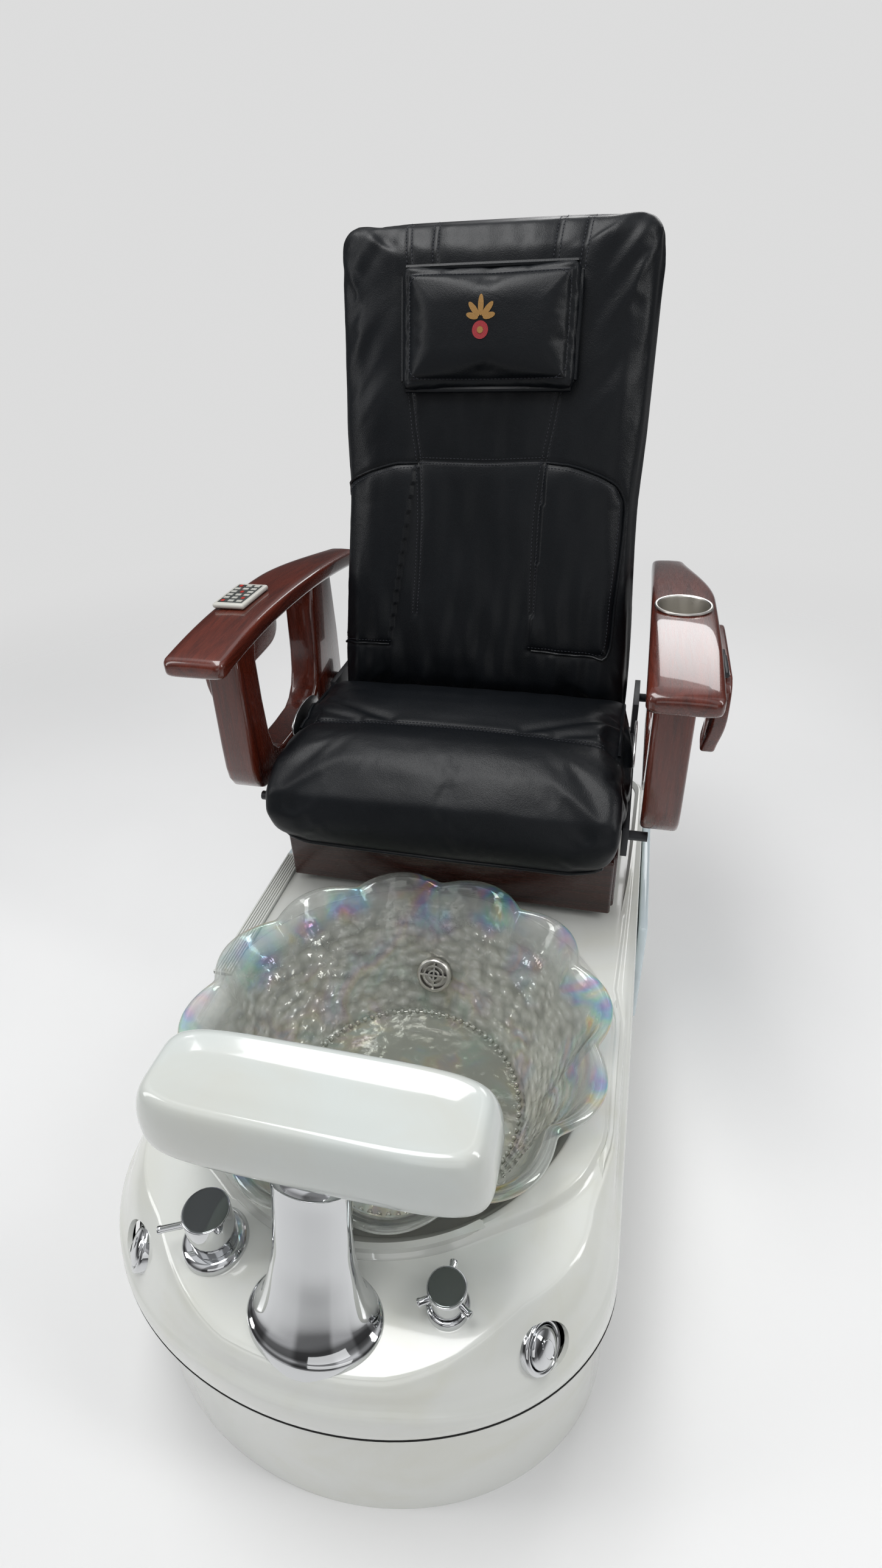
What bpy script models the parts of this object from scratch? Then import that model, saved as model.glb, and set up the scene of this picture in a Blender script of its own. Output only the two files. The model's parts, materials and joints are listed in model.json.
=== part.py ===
"""Pedicure spa chair: a moulded foot-spa base with a glass bowl, and a sliding, reclining massage seat.

Metres, +Z up, origin on the floor under the middle of the chair. +X is the right side as the chair is
faced from the front, and the basin is at -Y. Each object is one physical piece of the chair.
"""

from math import atan2, cos, pi, radians, sin, sqrt

import bmesh
import bpy
from mathutils import Matrix, Vector

GAP = 0.0003
WELD = 0.000001

# Moulded base
TUB_HALF_WIDTH = 0.336
TUB_FRONT = -0.700
TUB_REAR = 0.520
TUB_NOSE_DEPTH = 0.2286
TUB_CORNER = 0.05
TUB_WALL = 0.006
LIP_BOTTOM = 0.238
LIP_EDGE = 0.250
DECK_REAR_Z = 0.375
DECK_FRONT_DROP = 0.055
EDGE_REAR_Z = 0.365
EDGE_FRONT_DROP = 0.120
SKIRT_TOP = 0.246
SKIRT_TUCK = 0.013
SKIRT_WALL = 0.006

# Glass bowl
BOWL_Y = -0.268
BOWL_FLOOR = 0.220
BOWL_RIM_Z = 0.433
BOWL_WALL = 0.010
BOWL_LOBES = 12
BOWL_LOBE_DEPTH = 0.020
BOWL_LOBE_START = 0.300
RECESS_FLOOR = BOWL_FLOOR - BOWL_WALL - GAP
DRAIN_HOLE = 0.025

# Jet on the back wall of the bowl
JET_Z = 0.285
JET_TILT = radians(63.4)
JET_RADIUS = 0.030
JET_NECK = 0.018
JET_REACH = 0.050

# Footrest
HORN_BASE = Vector((0, -0.620, 0.330))
HORN_NECK = Vector((0, -0.572, 0.505))
HORN_TOP = 0.516
POST_RADIUS = 0.015
PAD_HALF_LENGTH = 0.196
PAD_FRONT = -0.594
PAD_REAR = -0.466
PAD_BOTTOM = 0.525
PAD_TOP = 0.612

# Taps and air buttons
FITTING_SEAT = 0.316
MIXER = Vector((-0.146, -0.573, 0))
MIXER_LEVER_TURN = radians(205)
DIVERTER = Vector((0.146, -0.582, 0))
BUTTON = Vector((0.251, -0.582, 0.290))
BUTTON_NORMAL = Vector((0.80, -0.35, 0.49)).normalized()
BUTTON_RADIUS = 0.030
BUTTON_TRAVEL = 0.003

# Seat
SEAT_HALF_WIDTH = 0.289
SEAT_BOTTOM = 0.500
RAIL_X = 0.200
RAIL_TOP = 0.390
FRAME_TOP = 0.480
EAR_INNER = 0.2905
EAR_OUTER = 0.3005
RECLINE_Y = 0.370
RECLINE_Z = 0.560
SHAFT_RADIUS = 0.008
SHAFT_BORE = 0.0083

# Backrest, in its own frame: x across, y back through its thickness, z up along it
BACK_LEAN = radians(13.8)
BACK_FRONT = -0.053
CUSHION_REAR = 0.028
SHELL_REAR = 0.1462
SHELL_WALL = 0.007
SHELL_BOTTOM = 0.12
SHELL_TOP = 0.83
BACK_BOTTOM = 0.072
BACK_TOP = 0.838
MAST_X = 0.195
SCREW_DEPTH = 0.112
KNEADER_DEPTH = 0.062
KNEADER_Z = 0.33

# Recline motor, as a strut from the seat frame to the backrest frame
MOTOR_FOOT = Vector((0, 0.460, 0.450))
STRUT_END_DEPTH = 0.050
STRUT_END_Z = 0.220

# Armrests
ARM_INNER = 0.300
ARM_OUTER = 0.400
ARM_FRONT = -0.045
ARM_REAR = 0.570
ARM_CROWN_Y = 0.170
ARM_CROWN_Z = 0.862
ARM_THICKNESS = 0.030
POST_INNER = 0.3155
POST_OUTER = 0.367
ARM_PIVOT_Y = 0.425
ARM_PIVOT_Z = 0.605
CUP = Vector((0.348, 0.235, 0))
CUP_RADIUS = 0.040
TRAY_INNER = 0.402
TRAY_OUTER = 0.424
TRAY_AXIS_X = 0.413
TRAY_AXIS_Z = 0.806

FINISHES = {
    "gelcoat": ((0.86, 0.87, 0.84), 0.12, 0.0),
    "glass": ((0.80, 0.84, 0.82), 0.05, 0.0),
    "chrome": ((0.82, 0.83, 0.85), 0.06, 1.0),
    "steel": ((0.12, 0.12, 0.13), 0.45, 0.8),
    "zinc": ((0.60, 0.61, 0.63), 0.35, 1.0),
    "brass": ((0.75, 0.58, 0.28), 0.30, 1.0),
    "leather": ((0.012, 0.014, 0.020), 0.35, 0.0),
    "mahogany": ((0.13, 0.018, 0.010), 0.10, 0.0),
    "ply": ((0.45, 0.30, 0.17), 0.70, 0.0),
    "black_plastic": ((0.02, 0.02, 0.022), 0.45, 0.0),
    "grey_plastic": ((0.45, 0.46, 0.47), 0.50, 0.0),
    "hose": ((0.30, 0.31, 0.33), 0.55, 0.0),
}


def clear_scene():
    for item in list(bpy.data.objects):
        bpy.data.objects.remove(item, do_unlink=True)


def finish_material(finish):
    material = bpy.data.materials.get(finish)
    if material:
        return material
    colour, roughness, metallic = FINISHES[finish]
    material = bpy.data.materials.new(finish)
    material.use_nodes = True
    shader = material.node_tree.nodes["Principled BSDF"]
    shader.inputs["Base Color"].default_value = (*colour, 1)
    shader.inputs["Roughness"].default_value = roughness
    shader.inputs["Metallic"].default_value = metallic
    return material


def keep(bm, name, finish, parent=None, at=(0, 0, 0), turn=(0, 0, 0)):
    """Turns a bmesh into a named piece, with faces outward and smooth except at its corners."""
    bmesh.ops.remove_doubles(bm, verts=bm.verts[:], dist=WELD)
    bmesh.ops.recalc_face_normals(bm, faces=bm.faces[:])
    mesh = bpy.data.meshes.new(name)
    bm.to_mesh(mesh)
    bm.free()
    mesh.shade_smooth()
    mesh.set_sharp_from_angle(angle=radians(35))
    mesh.materials.append(finish_material(finish))
    piece = bpy.data.objects.new(name, mesh)
    bpy.context.scene.collection.objects.link(piece)
    piece.parent = parent
    piece.location = at
    piece.rotation_euler = turn
    return piece


def pivot(name, at=(0, 0, 0), turn=(0, 0, 0), parent=None):
    empty = bpy.data.objects.new(name, None)
    bpy.context.scene.collection.objects.link(empty)
    empty.location = at
    empty.rotation_euler = turn
    empty.parent = parent
    return empty


def combine(target, guide, operation):
    """Adds a live Boolean with a guide that isn't part of the chair."""
    guide.hide_render = True
    guide.display_type = "WIRE"
    boolean = target.modifiers.new(guide.name, "BOOLEAN")
    boolean.operation = operation
    boolean.object = guide


def weld_on(target, bm, parent=None, at=(0, 0, 0), turn=(0, 0, 0)):
    guide = keep(bm, f"{target.name}_part", "steel", parent, at, turn)
    combine(target, guide, "UNION")


def cut_out(target, bm, parent=None, at=(0, 0, 0), turn=(0, 0, 0)):
    guide = keep(bm, f"{target.name}_cutter", "steel", parent, at, turn)
    combine(target, guide, "DIFFERENCE")


def soften(bm, width, segments=1, sharper_than=0.5):
    edges = [edge for edge in bm.edges if edge.calc_face_angle(0) > sharper_than]
    bmesh.ops.bevel(
        bm, geom=edges, offset=width, segments=segments, affect="EDGES", profile=0.5, material=-1
    )
    return bm


def block(low, high):
    """A box between two corners."""
    bm = bmesh.new()
    bmesh.ops.create_cube(bm, size=1)
    low = Vector(low)
    high = Vector(high)
    bmesh.ops.scale(bm, verts=bm.verts[:], vec=high - low)
    bmesh.ops.translate(bm, verts=bm.verts[:], vec=(low + high) / 2)
    return bm


def mirrored(low, high):
    """The same box on the other side of the chair."""
    return (-high[0], low[1], low[2]), (-low[0], high[1], high[2])


def turned(profile, sides=24, looped=False):
    """A lathe piece about local Z from (radius, height) points, open ends on the axis or a closed loop."""
    bm = bmesh.new()
    verts = [bm.verts.new((radius, 0, height)) for radius, height in profile]
    edges = [bm.edges.new(pair) for pair in zip(verts, verts[1:])]
    if looped:
        edges.append(bm.edges.new((verts[-1], verts[0])))
    bmesh.ops.spin(
        bm, geom=verts + edges, cent=(0, 0, 0), axis=(0, 0, 1), angle=2 * pi, steps=sides, use_merge=True
    )
    bmesh.ops.remove_doubles(bm, verts=bm.verts[:], dist=WELD)
    return bm


def rod(radius, low, high, sides=16):
    return turned([(0, low), (radius, low), (radius, high), (0, high)], sides)


def tube(outer, inner, low, high, sides=16):
    return turned([(inner, low), (outer, low), (outer, high), (inner, high)], sides, looped=True)


def across(bm):
    """Lays a piece made about Z along X."""
    bmesh.ops.rotate(bm, verts=bm.verts[:], cent=(0, 0, 0), matrix=Matrix.Rotation(pi / 2, 3, "Y"))
    return bm


def along_depth(bm):
    """Lays a piece made about Z along Y."""
    bmesh.ops.rotate(bm, verts=bm.verts[:], cent=(0, 0, 0), matrix=Matrix.Rotation(-pi / 2, 3, "X"))
    return bm


def side_slab(outline, low, high):
    """A (y, z) outline given a thickness across the chair, from x = low to x = high."""
    bm = bmesh.new()
    face = bm.faces.new([bm.verts.new((low, y, z)) for y, z in outline])
    grown = bmesh.ops.extrude_face_region(bm, geom=[face])
    moved = [part for part in grown["geom"] if isinstance(part, bmesh.types.BMVert)]
    bmesh.ops.translate(bm, verts=moved, vec=(high - low, 0, 0))
    bmesh.ops.recalc_face_normals(bm, faces=bm.faces[:])
    return bm


def skin(rings, closed_ends=True):
    """One skin through rings of points, drawn in to a point at each end or looped back to the first."""
    count = len(rings[0])
    if closed_ends:
        first = sum(rings[0], Vector()) / count
        last = sum(rings[-1], Vector()) / count
        rings = [[first] * count, *rings, [last] * count]
    rows = len(rings) - 1
    bm = bmesh.new()
    bmesh.ops.create_grid(bm, x_segments=count, y_segments=rows, size=0.5)
    for vert in bm.verts:
        column = round((vert.co.x + 0.5) * count) % count
        row = round((vert.co.y + 0.5) * rows)
        vert.co = rings[row][column]
    bmesh.ops.remove_doubles(bm, verts=bm.verts[:], dist=WELD)
    return bm


def looped_skin(rings):
    return skin([*rings, rings[0]], closed_ends=False)


def ellipse(centre, half_x, half_y, count=24):
    angles = [2 * pi * step / count for step in range(count)]
    return [centre + Vector((half_x * cos(a), half_y * sin(a), 0)) for a in angles]


def rounded_outline(half_x, low_y, high_y, radius, steps=3):
    """Corners of a rectangle in plan, each an arc."""
    points = []
    corners = (
        (half_x - radius, high_y - radius, 0),
        (-half_x + radius, high_y - radius, 90),
        (-half_x + radius, low_y + radius, 180),
        (half_x - radius, low_y + radius, 270),
    )
    for x, y, start in corners:
        for step in range(steps + 1):
            angle = radians(start + 90 * step / steps)
            points.append(Vector((x + radius * cos(angle), y + radius * sin(angle), 0)))
    return points


def base_outline(half_width, front, nose_depth, rear, corner):
    """Plan of the base: an elliptical nose, straight sides and rounded rear corners, anticlockwise."""
    nose_y = front + nose_depth
    nose_steps = 24
    points = []
    for step in range(nose_steps + 1):
        angle = pi + pi * step / nose_steps
        points.append(Vector((half_width * cos(angle), nose_y + nose_depth * sin(angle), 0)))
    side = [-0.40, -0.34, -0.28, -0.22, -0.16, -0.10, -0.03, 0.06, 0.20, 0.35]
    points += [Vector((half_width, y, 0)) for y in side]
    for step in range(4):
        angle = radians(30 * step)
        across_corner = half_width - corner + corner * cos(angle)
        points.append(Vector((across_corner, rear - corner + corner * sin(angle), 0)))
    points += [Vector((x, rear, 0)) for x in (0.15, 0.0, -0.15)]
    for step in range(4):
        angle = radians(90 + 30 * step)
        across_corner = -half_width + corner + corner * cos(angle)
        points.append(Vector((across_corner, rear - corner + corner * sin(angle), 0)))
    points += [Vector((-half_width, y, 0)) for y in reversed(side)]
    return points


def ramp(value, low, high):
    """0 at low, 1 at high, eased at both ends."""
    t = min(max((value - low) / (high - low), 0), 1)
    return t * t * (3 - 2 * t)


def deck_z(y):
    """Height of the deck inside its step."""
    return DECK_REAR_Z - DECK_FRONT_DROP * max(0, (-0.10 - y) / 0.58) ** 1.5


def edge_z(y):
    """Height of the outer band of the deck, which falls towards the nose."""
    return EDGE_REAR_Z - EDGE_FRONT_DROP * max(0, (-0.15 - y) / 0.55) ** 1.2


def deck_rings():
    """Rings of the tub's outer skin from the bottom of its lip to the drain hole."""
    centre = Vector((0, BOWL_Y, 0))
    outline = base_outline(TUB_HALF_WIDTH, TUB_FRONT, TUB_NOSE_DEPTH, TUB_REAR, TUB_CORNER)
    rings = [[] for _ in range(13)]
    for point in outline:
        reach = (point - centre).length
        way = (point - centre) / reach
        facing = -way.y
        corner = 1 - abs(abs(way.x) - 0.62) / 0.38 if facing > 0 else 0
        nose = ramp(facing, 0.80, 0.97)
        slope_in = 0.034 + 0.022 * max(corner, 0) - 0.012 * nose
        foot = min(0.290 + 0.030 * (1 - ramp(facing, 0.45, 0.85)), reach - 0.030)
        slope_in = min(slope_in, (reach - foot) * 0.6)

        def at(distance, z=None, lift=0.0):
            spot = centre + way * distance
            spot.z = z if z is not None else deck_z(spot.y) + lift
            return spot

        rim_z = deck_z(centre.y + way.y * 0.28) + 0.008
        edge = edge_z(point.y) + 0.045 * (1 - max(corner, 0)) * ramp(facing, 0.60, 0.95)
        column = [
            at(reach, LIP_BOTTOM),
            at(reach, LIP_EDGE),
            at(reach - 0.003, edge - 0.012),
            at(reach - 0.012, edge),
            at(reach - slope_in, lift=-0.003),
            at(reach - slope_in - 0.008),
            at(foot + 0.006),
            at(foot - 0.008, rim_z),
            at(0.280, rim_z),
            at(0.273, rim_z - 0.010),
            at(0.233, 0.238),
            at(0.206, RECESS_FLOOR),
            at(0.030, RECESS_FLOOR),
        ]
        for ring, spot in zip(rings, column):
            ring.append(spot)
    return rings


def make_base():
    """Skirt, tub deck and the covers fixed to them."""
    low = base_outline(0.331, -0.6975, 0.2445, 0.515, TUB_CORNER)
    nose_y = -0.453

    def inward(points, distance, z):
        moved = []
        for point in points:
            middle = Vector((0, min(max(point.y, nose_y), 0.40), 0))
            spot = point + (middle - point).normalized() * distance
            moved.append(Vector((spot.x, spot.y, z)))
        return moved

    keep(
        looped_skin(
            [
                inward(low, 0, 0),
                inward(low, SKIRT_TUCK, SKIRT_TOP),
                inward(low, SKIRT_TUCK + SKIRT_WALL, SKIRT_TOP),
                inward(low, SKIRT_WALL, 0),
            ]
        ),
        "base_skirt",
        "gelcoat",
    )

    bm = skin(deck_rings(), closed_ends=False)
    bmesh.ops.recalc_face_normals(bm, faces=bm.faces[:])
    highest = max(bm.faces, key=lambda face: face.calc_center_median().y if face.normal.z else -9)
    if highest.normal.y < 0:
        bmesh.ops.reverse_faces(bm, faces=bm.faces[:])
    mesh = bpy.data.meshes.new("tub_deck")
    bm.to_mesh(mesh)
    bm.free()
    mesh.shade_smooth()
    mesh.set_sharp_from_angle(angle=radians(35))
    mesh.materials.append(finish_material("gelcoat"))
    deck = bpy.data.objects.new("tub_deck", mesh)
    bpy.context.scene.collection.objects.link(deck)
    wall = deck.modifiers.new("wall", "SOLIDIFY")
    wall.thickness = TUB_WALL
    wall.offset = -1

    for side, low_corner, high_corner in (
        ("right", (TUB_HALF_WIDTH + GAP, 0.06, 0.12), (0.352, 0.44, 0.345)),
        ("left", *mirrored((TUB_HALF_WIDTH + GAP, 0.06, 0.12), (0.352, 0.44, 0.345))),
    ):
        keep(block(low_corner, high_corner), f"side_cover_{side}", "gelcoat")
    keep(block((-0.22, 0.5155, 0.03), (0.22, 0.5215, 0.20)), "service_panel", "gelcoat")

    grille = keep(block((-0.326, -0.05, 0.3755), (-0.294, 0.10, 0.384)), "vent_grille", "gelcoat")
    for step in range(4):
        x = -0.3215 + 0.007 * step
        cut_out(grille, block((x, -0.042, 0.370), (x + 0.003, 0.092, 0.390)))
    return deck


def lobe(angle):
    """0 at the notch between two scallops, 1 at the top of one."""
    return abs(sin(BOWL_LOBES / 2 * angle)) ** 0.8


def bowl_ring(radius, z, count=72):
    depth = BOWL_LOBE_DEPTH * max(0, (z - BOWL_LOBE_START) / (BOWL_RIM_Z - BOWL_LOBE_START)) ** 1.5
    ring = []
    for step in range(count):
        angle = 2 * pi * step / count
        reach = radius - depth * (1 - lobe(angle))
        ring.append(Vector((reach * cos(angle), BOWL_Y + reach * sin(angle), z)))
    return ring


def make_bowl():
    under = BOWL_FLOOR - BOWL_WALL
    outer = [(DRAIN_HOLE, under), (0.178, under), (0.195, 0.222), (0.232, 0.300), (0.256, 0.350)]
    rim = [(0.283, 0.398), (0.306, 0.426), (0.300, BOWL_RIM_Z)]
    inner = [(0.289, 0.426), (0.270, 0.395), (0.222, 0.300), (0.180, BOWL_FLOOR), (DRAIN_HOLE, BOWL_FLOOR)]
    rings = [bowl_ring(radius, z) for radius, z in outer + rim + inner]
    return keep(looped_skin(rings), "glass_bowl", "glass")


def make_drain():
    at = (0, BOWL_Y, 0)
    flange = BOWL_FLOOR + GAP
    tail = [
        (0.019, 0.140), (0.0235, 0.140), (0.0235, flange), (0.032, flange), (0.032, 0.2235), (0.019, 0.2235)
    ]
    keep(turned(tail, 24, looped=True), "drain_tailpiece", "chrome", at=at)
    stopper = [(0, 0.175), (0.006, 0.175), (0.006, 0.224), (0.024, 0.224), (0.022, 0.228), (0, 0.230)]
    keep(turned(stopper, 24), "drain_stopper", "chrome", at=at)


def make_jet(bowl, deck):
    """Magnet-driven jet: a ringed cover and impeller in the bowl, and a motor behind the tub wall."""
    wall_radius = 0.180 + (JET_Z - BOWL_FLOOR) * (0.222 - 0.180) / (0.300 - BOWL_FLOOR)
    jet = pivot("jet_axis", (0, BOWL_Y + wall_radius, JET_Z), (JET_TILT, 0, 0))
    for shell in (bowl, deck):
        cut_out(shell, rod(JET_NECK + 0.0005, -0.075, 0.012, 24), parent=jet)
    cup = [
        (0, -JET_REACH), (JET_NECK, -JET_REACH), (JET_NECK, 0.004), (JET_RADIUS, 0.004), (JET_RADIUS, 0.014),
        (0.027, 0.017), (0.0235, 0.017), (0.0235, 0.006), (0, 0.006),
    ]
    cover = keep(turned(cup, 24), "jet_cover", "grey_plastic", parent=jet)
    for inner, outer in ((0.0075, 0.0105), (0.0155, 0.0185)):
        weld_on(cover, tube(outer, inner, 0.0135, 0.0165, 20), parent=jet)
    weld_on(cover, block((-0.025, -0.0015, 0.0135), (0.025, 0.0015, 0.0165)), parent=jet)
    weld_on(cover, block((-0.0015, -0.025, 0.0135), (0.0015, 0.025, 0.0165)), parent=jet)
    impeller = keep(rod(0.007, 0.0065, 0.0130, 12), "jet_impeller", "black_plastic", parent=jet)
    for low, high in (((-0.021, -0.0015), (0.021, 0.0015)), ((-0.0015, -0.021), (0.0015, 0.021))):
        weld_on(impeller, block((*low, 0.0070), (*high, 0.0115)), parent=jet)
    keep(rod(0.034, -JET_REACH - 0.060, -JET_REACH - GAP, 20), "jet_motor", "black_plastic", parent=jet)


def horn_ring(z, half_x, half_y):
    centre = HORN_BASE.lerp(HORN_NECK, (z - HORN_BASE.z) / (HORN_NECK.z - HORN_BASE.z))
    return ellipse(centre, half_x, half_y)


def make_footrest(deck):
    """Chrome horn on the deck, and the white rest on a sliding post inside it."""
    flange = horn_ring(HORN_BASE.z, 0.080, 0.056)
    outside = [
        [point - Vector((0, 0, 0.018)) for point in flange],
        flange,
        horn_ring(0.339, 0.075, 0.053),
        horn_ring(0.352, 0.065, 0.047),
        horn_ring(0.380, 0.056, 0.038),
        horn_ring(0.420, 0.048, 0.029),
        horn_ring(0.465, 0.0455, 0.027),
        horn_ring(0.500, 0.046, 0.026),
        horn_ring(HORN_TOP, 0.048, 0.027),
    ]
    lean = HORN_NECK - HORN_BASE
    bore = POST_RADIUS + 0.0009
    inside = [horn_ring(z, bore, bore * lean.length / lean.z) for z in (HORN_TOP, 0.420, 0.312)]
    keep(looped_skin(outside + inside), "pedestal_horn", "chrome")
    hole = [ellipse(Vector((0, HORN_BASE.y, z)), 0.080 + GAP, 0.056 + GAP) for z in (0.25, 0.42)]
    cut_out(deck, skin(hole))

    tilt = -atan2(lean.y, lean.z)
    slide = pivot("footrest_slide", HORN_NECK, (tilt, 0, 0))
    post = keep(rod(POST_RADIUS, -0.170, 0.014, 20), "footrest_post", "zinc", parent=slide)
    weld_on(post, block((-0.07, -0.572, HORN_TOP + GAP), (0.07, -0.500, PAD_BOTTOM - GAP)))

    plan = rounded_outline(PAD_HALF_LENGTH, PAD_FRONT, PAD_REAR, 0.045, 4)
    middle = Vector((0, (PAD_FRONT + PAD_REAR) / 2, 0))

    def layer(inset, z):
        half_depth = (PAD_REAR - PAD_FRONT) / 2
        grow_x = 1 - inset / PAD_HALF_LENGTH
        grow_y = 1 - inset / half_depth
        return [
            Vector((p.x * grow_x, middle.y + (p.y - middle.y) * grow_y, z)) for p in plan
        ]

    layers = [
        layer(0.024, PAD_BOTTOM),
        layer(0.010, PAD_BOTTOM + 0.004),
        layer(0.002, PAD_BOTTOM + 0.025),
        layer(0.000, PAD_BOTTOM + 0.045),
        layer(0.006, PAD_TOP - 0.016),
        layer(0.018, PAD_TOP - 0.003),
        layer(0.030, PAD_TOP),
    ]
    keep(skin(layers), "footrest_pad", "gelcoat")


def make_mixer(deck):
    """Single-lever mixer: the cap turns for warmth, and the lever lifts in its slot for flow."""
    ring_radius = 0.0405
    cap_radius = 0.0285
    cap_low = 0.3435
    cap_high = 0.400
    slot_low = 0.3725
    slot_high = 0.3935
    lever_z = 0.380
    cut_out(deck, rod(ring_radius + GAP, 0.27, 0.42, 28), at=MIXER)
    ring = [
        (0, FITTING_SEAT), (ring_radius, FITTING_SEAT), (ring_radius, 0.338), (0.037, 0.343), (0, 0.343)
    ]
    keep(turned(ring, 28), "mixer_ring", "chrome", at=MIXER)
    cap = keep(
        turned([(0, cap_low), (cap_radius, cap_low), (cap_radius, cap_high), (0, cap_high)], 28),
        "mixer_cap",
        "chrome",
        at=MIXER,
    )
    turn = (0, 0, MIXER_LEVER_TURN)
    cut_out(cap, block((0.0085, -0.0055, slot_low), (0.04, 0.0055, slot_high)), at=MIXER, turn=turn)
    pivot_at = MIXER + Vector((0.016 * cos(MIXER_LEVER_TURN), 0.016 * sin(MIXER_LEVER_TURN), lever_z))
    lever = pivot("lever_pivot", pivot_at, turn)
    stick = [(0, -0.0045), (0.0043, -0.0045), (0.0043, 0.038), (0.0048, 0.039), (0.0048, 0.043), (0, 0.043)]
    keep(across(turned(stick, 12)), "mixer_lever", "chrome", parent=lever)
    keep(rod(0.022, 0.250, FITTING_SEAT - GAP, 16), "mixer_valve", "brass", at=MIXER)


def make_diverter(deck):
    """Three-spoked knob that sends the water to the bowl or the hand shower."""
    ring_radius = 0.0255
    cut_out(deck, rod(ring_radius + GAP, 0.27, 0.42, 24), at=DIVERTER)
    ring = [
        (0, FITTING_SEAT), (ring_radius, FITTING_SEAT), (ring_radius, 0.3385), (0.0235, 0.341), (0, 0.341)
    ]
    keep(turned(ring, 24), "diverter_ring", "chrome", at=DIVERTER)
    knob = keep(
        turned([(0, 0.3413), (0.021, 0.3413), (0.0228, 0.346), (0.0228, 0.376), (0, 0.376)], 24),
        "diverter_knob",
        "chrome",
        at=DIVERTER,
    )
    for degrees_round in (90, 210, 330):
        spoke = across(rod(0.0045, 0.015, 0.035, 10))
        weld_on(knob, spoke, at=DIVERTER + Vector((0, 0, 0.362)), turn=(0, 0, radians(degrees_round)))
    keep(rod(0.018, 0.255, FITTING_SEAT - GAP, 16), "diverter_valve", "brass", at=DIVERTER)


def make_buttons(deck):
    """Air buttons: a chrome cup let into the tub, with a domed push button that travels in it."""
    for side, sign in (("right", 1), ("left", -1)):
        normal = Vector((BUTTON_NORMAL.x * sign, BUTTON_NORMAL.y, BUTTON_NORMAL.z))
        spot = Vector((BUTTON.x * sign, BUTTON.y, BUTTON.z))
        axis = pivot(f"button_axis_{side}", spot, normal.to_track_quat("Z", "Y").to_euler())
        cut_out(deck, rod(BUTTON_RADIUS + GAP, -0.035, 0.04, 24), parent=axis)
        cup = [
            (0, -0.014), (BUTTON_RADIUS, -0.014), (BUTTON_RADIUS, 0.004), (0.0275, 0.007),
            (0.0235, 0.007), (0.0235, -0.010), (0, -0.010),
        ]
        keep(turned(cup, 24), f"button_bezel_{side}", "chrome", parent=axis)
        dome = [
            (0, -0.010 + BUTTON_TRAVEL + 0.0005), (0.0225, -0.010 + BUTTON_TRAVEL + 0.0005),
            (0.0225, 0.008), (0.018, 0.011), (0.010, 0.0135), (0, 0.014),
        ]
        keep(turned(dome, 24), f"air_button_{side}", "chrome", parent=axis)


def smooth_route(points, steps=8):
    """Points on a Catmull-Rom curve through a few route points."""
    ends = [points[0] * 2 - points[1], *points, points[-1] * 2 - points[-2]]
    path = []
    for a, b, c, d in zip(ends, ends[1:], ends[2:], ends[3:]):
        for step in range(steps):
            t = step / steps
            path.append(
                (b * 2 + (c - a) * t + (a * 2 - b * 5 + c * 4 - d) * t**2 + (b * 3 - a - c * 3 + d) * t**3)
                / 2
            )
    return [*path, points[-1]]


def hose(name, finish, radius, route):
    path = smooth_route([Vector(point) for point in route], 5)
    curve = bpy.data.curves.new(name, "CURVE")
    curve.dimensions = "3D"
    curve.bevel_depth = radius
    curve.bevel_resolution = 2
    curve.render_resolution_u = 0
    curve.use_fill_caps = True
    spline = curve.splines.new("POLY")
    spline.points.add(len(path) - 1)
    for point, spot in zip(spline.points, path):
        point.co = (*spot, 1)
    curve.materials.append(finish_material(finish))
    piece = bpy.data.objects.new(name, curve)
    bpy.context.scene.collection.objects.link(piece)


def make_base_inside():
    """Steel frame under the seat, hoses and the control box."""
    frame = keep(block((-0.265, 0.085, 0.325), (0.265, 0.115, 0.355)), "base_frame", "steel")
    weld_on(frame, block((-0.265, 0.425, 0.325), (0.265, 0.455, 0.355)))
    for sign in (1, -1):
        inner = sorted((sign * 0.235, sign * 0.265))
        weld_on(frame, block((inner[0], 0.09, 0.325), (inner[1], 0.45, 0.355)))
        for y in (0.085, 0.425):
            weld_on(frame, block((inner[0], y, 0), (inner[1], y + 0.030, 0.330)))
    valve_foot = 0.250 - GAP
    for name, x, side_x in (("hot_hose", -0.156, -0.205), ("cold_hose", -0.136, -0.175)):
        down = [(x, MIXER.y, valve_foot), (x, MIXER.y, 0.18), (x - 0.005, MIXER.y + 0.01, 0.10)]
        back = [(side_x, -0.50, 0.05), (side_x, -0.20, 0.04), (side_x, 0.20, 0.04), (side_x, 0.49, 0.05)]
        hose(name, "hose", 0.007, down + back)
    waste = [(0, BOWL_Y, 0.140 - GAP), (0, BOWL_Y, 0.100), (0, BOWL_Y + 0.05, 0.065)]
    hose("drain_hose", "hose", 0.018, waste + [(0, 0.0, 0.050), (0, 0.25, 0.045), (0, 0.49, 0.045)])
    keep(soften(block((0.09, 0.20, 0.03), (0.22, 0.38, 0.11)), 0.006), "control_box", "grey_plastic")


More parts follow.
